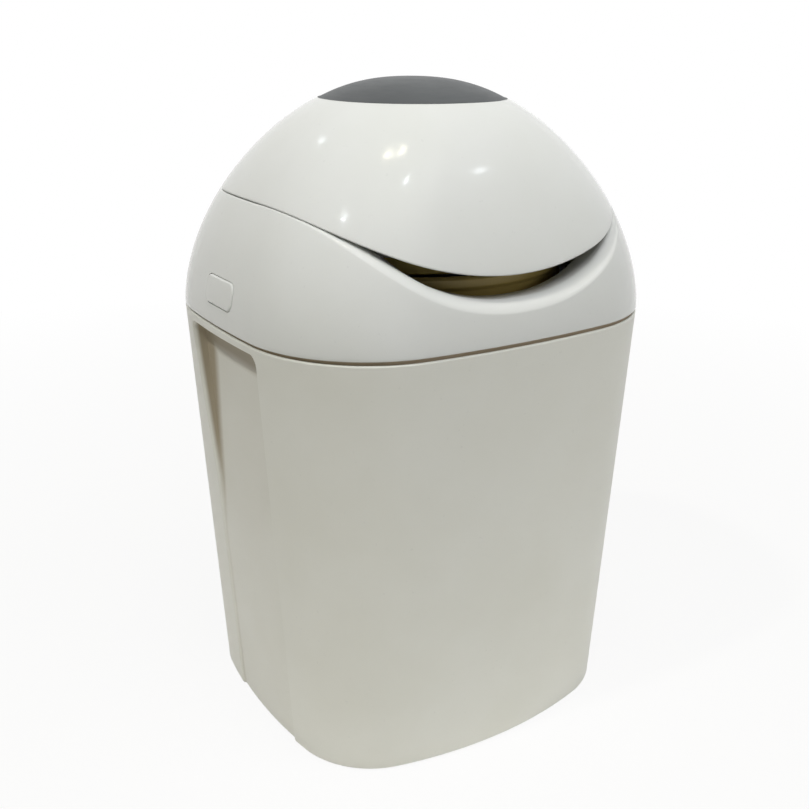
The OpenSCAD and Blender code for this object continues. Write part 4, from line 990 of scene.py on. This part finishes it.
# %% Carrier, liner and film grip
grip_bar = block("finger_grips", (90.5, -2, 274.5), (94.3, 2, 285.5), 0.8)
run_tree(grip_bar, ring_of_copies, count=24, finish=carrier_olive)
carrier = turned("twist_carrier_ring", [
    (throat_r, carrier_floor), (carrier_r, carrier_floor), (carrier_r, flange_z),
    (flange_r, flange_z), (flange_r, flange_z + 2.2), (carrier_r, flange_z + 2.2),
    (carrier_r, carrier_top - 8), (92.4, carrier_top - 6), (92.4, carrier_top - 1.5),
    (carrier_r, carrier_top), (88.5, carrier_top), (88.5, tray_z), (throat_r, tray_z)], 0.6)
join(carrier, [grip_bar])
liner_z, liner_top, liner_r = 337.0, 339.4, 86.0
liner = turned("lid_liner_plate", [
    (0, liner_z), (rib_in, liner_z), (rib_in, rib_z), (rib_out, rib_z), (rib_out, liner_z),
    (liner_r, liner_z), (liner_r, liner_top), (0, liner_top)], 0.7)
def screw_holes(places, low, high):
    return [rod("hole", (x, y, low), (x, y, high), 1.8, 24) for x, y in places]

cut(liner, screw_holes(lid_bosses, liner_z - 1, liner_z + 4))
print("carrier:", len(carrier.data.polygons), "faces, liner:", len(liner.data.polygons))

# %% Film grip with its flexible fingers
tip_z = well_floor - 34
grip = turned("film_grip_fingers", [
    (66.0, 239.95), (78.0, 239.95), (78.0, 237.6), (68.0, 237.6), (68.0, 226.0),
    (24.0, tip_z), (24.0, tip_z + 1.6), (66.0, 227.6)], 0.4)
slot = block("slots", (23.0, -1.5, tip_z - 1), (63.0, 1.5, 228.6), 0)
slot.data.transform(Matrix.Rotation(np.radians(15), 4, "Z"))
run_tree(slot, ring_of_copies, count=12, finish=grip_grey)
grip_spots = spots(73.5, 30, 150, 210, 330)
cut(grip, [slot] + screw_holes(grip_spots, 237, 241)
    + [block("cutter_room", (-8.5, -79, 228), (8.5, -63, 236), 0)])
print("film grip:", len(grip.data.polygons), "faces")

# %% [markdown]
# The screws have low rounded heads with a cross slot, and they are all one screw with
# shanks of three lengths. Only the heads show, so the shank stays a plain rod.

# %% Screws
def screw_piece(length):
    head = [(0, -2.2), (1.6, -2.15), (2.6, -1.8), (3.2, -1.1), (3.4, -0.4), (3.4, 0), (0, 0)]
    shank = [(0, 0), (1.58, 0), (1.58, length - 1), (0.8, length), (0, length)]
    screw = turned("screw", head, 0.1, 36)
    cut(screw, [block("slot", (-x, -y, -3), (x, y, -1.1), 0)
                for x, y in ((0.42, 1.9), (1.9, 0.42))])
    join(screw, [turned("shank", shank, 0.1, 36)])
    smooth(screw, 32)
    return screw

for name, places, z, length, tip, seed, body, replaced in (
        ("deck_screw_set", hood_bosses, seam_z, 11, 0.0, 3, "hood_assembly", "deck_screws"),
        ("retainer_screw_set", spots(100.9, 45, 135, 225, 315), 273.3, 8, np.pi, 5,
         "hood_assembly", "retainer_screws"),
        ("grip_screw_set", grip_spots, 237.6, 4.4, 0.0, 7, "hood_assembly", "grip_screws"),
        ("liner_screw_set", lid_bosses, liner_z, 11, 0.0, 9, "lid_assembly",
         "liner_screws")):
    mesh = bpy.data.meshes.new(name)
    mesh.from_pydata([(x * MM, y * MM, z * MM) for x, y in places], [], [])
    thing, one = add_object(name, mesh), screw_piece(length)
    run_tree(thing, screws_at_points, screw=one, tip_over=tip, seed=seed, finish=screw_steel)
    bpy.data.objects.remove(one)
    finish_piece(thing, screw_steel, body, "screw_steel", replaced, angle=None)

# %% Finishes for the turned pieces
for thing, material, body, slot_name, replaced in (
        (tray, cassette_blue, "twist_carrier", "cassette_plastic", "cassette_tray"),
        (cover, cassette_blue, "twist_carrier", "cassette_plastic", "cassette_cover"),
        (carrier, carrier_olive, "twist_carrier", "carrier_olive", "carrier"),
        (liner, inner_white, "lid_assembly", "inner_white", "lid_liner"),
        (seal, seal_rubber, "lid_assembly", "seal_rubber", "lid_seal"),
        (grip, grip_grey, "hood_assembly", "grip_grey", "film_grip")):
    finish_piece(thing, material, body, slot_name, replaced, angle=40)

# %% [markdown]
# The film is one long tube of thin plastic. Most of it waits in the cassette, folded to
# and fro in a ring. Its free end comes over the cassette's inner wall, hangs down the
# throat, is drawn together by the fingers of the film grip and ends in a knot. A folded
# or gathered sheet isn't a smooth funnel: as the tube narrows, the same width of film has
# to go somewhere, so it falls into folds that grow deeper towards the knot. The folds are
# drawn by a rule, each with its own depth from a fixed seed, because a simulation of film
# that is held at both ends would give the same picture for far more time.

# %% Folded film in the cassette
chance = np.random.default_rng(21)
fold_count, fold_in, fold_out, most = 24, 65.2, 84.6, 0.7
turn, fold_rows = full_turn(240), []
for number, z in enumerate(np.linspace(247.2, 279.6, 2 * fold_count + 1)):
    wander = sum(chance.uniform(0.1, 0.35) * np.cos(k * turn + chance.uniform(0, 6.28))
                 for k in (3, 7, 12, 19))
    r = (fold_out if number % 2 else fold_in) + np.clip(wander, -most, most)
    sag = 0.12 * np.cos(9 * turn + number * 0.9)
    fold_rows.append(np.stack([r * np.cos(turn), r * np.sin(turn), z + sag], -1))
pack = net_mesh("film_folds", fold_rows, close_ends=False)
finish_piece(pack, film_white, "twist_carrier", "film", "film_pack", angle=180)

# %% Gathered film in the throat
# Each point of the sleeve's side view has a radius, a height and the depth of its folds.
line = np.array([
    (64.9, 283.2, 0), (64.9, 287.4, 0), (64.4, 288.6, 0), (63.0, 289.0, 0), (61.4, 288.7, 0.1),
    (60.9, 287.2, 0.3), (60.8, 275.0, 0.6), (60.8, 262.0, 0.9), (60.7, 250.0, 1.6),
    (57.5, 245.0, 4.5), (47.0, 237.5, 10.5), (36.4, 229.4, 12.5), (26.0, 220.2, 12),
    (16.2, 211.6, 9.0), (9.5, 206.0, 6.0), (5.0, 201.5, 3.0), (3.0, 197.0, 1.6),
    (3.1, 194.0, 1.6), (4.5, 190.0, 2.6), (6.4, 184.0, 3.6), (7.0, 180.4, 4.0)])
walk = np.r_[0, np.cumsum(np.linalg.norm(np.diff(line[:, :2], axis=0), axis=1))]
steps = np.linspace(0, walk[-1], 110)
gather_count, twist_from, least_r = 18, 250, 0.6
lobes = 1 + 0.35 * chance.uniform(-1, 1, gather_count)
shift = chance.uniform(-0.5, 0.5, gather_count)
turn, sleeve_rows = full_turn(432), []
which = np.floor(turn / (2 * np.pi) * gather_count).astype(int) % gather_count
phase = turn / (2 * np.pi) * gather_count - which
wave = np.sin(np.pi * phase) ** 2 * lobes[which]
fine = 0.12 * np.sin(3 * np.pi * phase) ** 2
for r, z, deep in zip(*(np.interp(steps, walk, column) for column in line.T)):
    r = np.maximum(r - deep * np.clip(wave + fine, 0, 1.1), least_r)
    twist = 0.16 * np.clip((twist_from - z) / 50, 0, 1.4)
    around = turn + twist + 0.03 * np.clip((twist_from - z) / 60, 0, 1) * shift[which] * wave
    sleeve_rows.append(np.stack([r * np.cos(around), r * np.sin(around),
                                 np.full_like(turn, z)], -1))
sleeve = net_mesh("film_sleeve_gathered", sleeve_rows, close_ends=False)
finish_piece(sleeve, film_white, "twist_carrier", "film", "film_sleeve", angle=180)
area = sum(p.area for p in sleeve.data.polygons)
print("film sleeve area:", round(area, 4), "of", round(0.382 * walk[-1] * MM, 4), "square metres")

# %% [markdown]
# The floor is pale and plain. A camera ray sees it nearly white, and it still catches the
# bin's shadow. It is the stage, and not part of the bin.

# %% Floor
floor_mesh = bpy.data.meshes.new("floor")
wide, sunk = 9, -0.0002
floor_mesh.from_pydata([(-wide, -wide, sunk), (wide, -wide, sunk), (wide, wide, sunk),
                        (-wide, wide, sunk)], [], [(0, 1, 2, 3)])
floor = add_object("floor", floor_mesh)
ground, tree, matt, where = new_material("pale_floor")
wire(tree, matt, {"Base Color": (0.78, 0.77, 0.74, 1), "Roughness": 0.9})
shine = add_node(tree, "ShaderNodeEmission", {"Strength": 1.0})
away = add_node(tree, "ShaderNodeVectorMath", {0: where}, "Value", operation="LENGTH")
share = calc(tree, "MULTIPLY", seen_directly(tree), spread(tree, away, 0.35, 1.1, 0.90, 1.0))
both = add_node(tree, "ShaderNodeMixShader", {0: share, 1: matt.outputs[0], 2: shine})
wire(tree, tree.nodes["Material Output"], {"Surface": both})
floor_mesh.materials.append(ground)
print("floor laid")
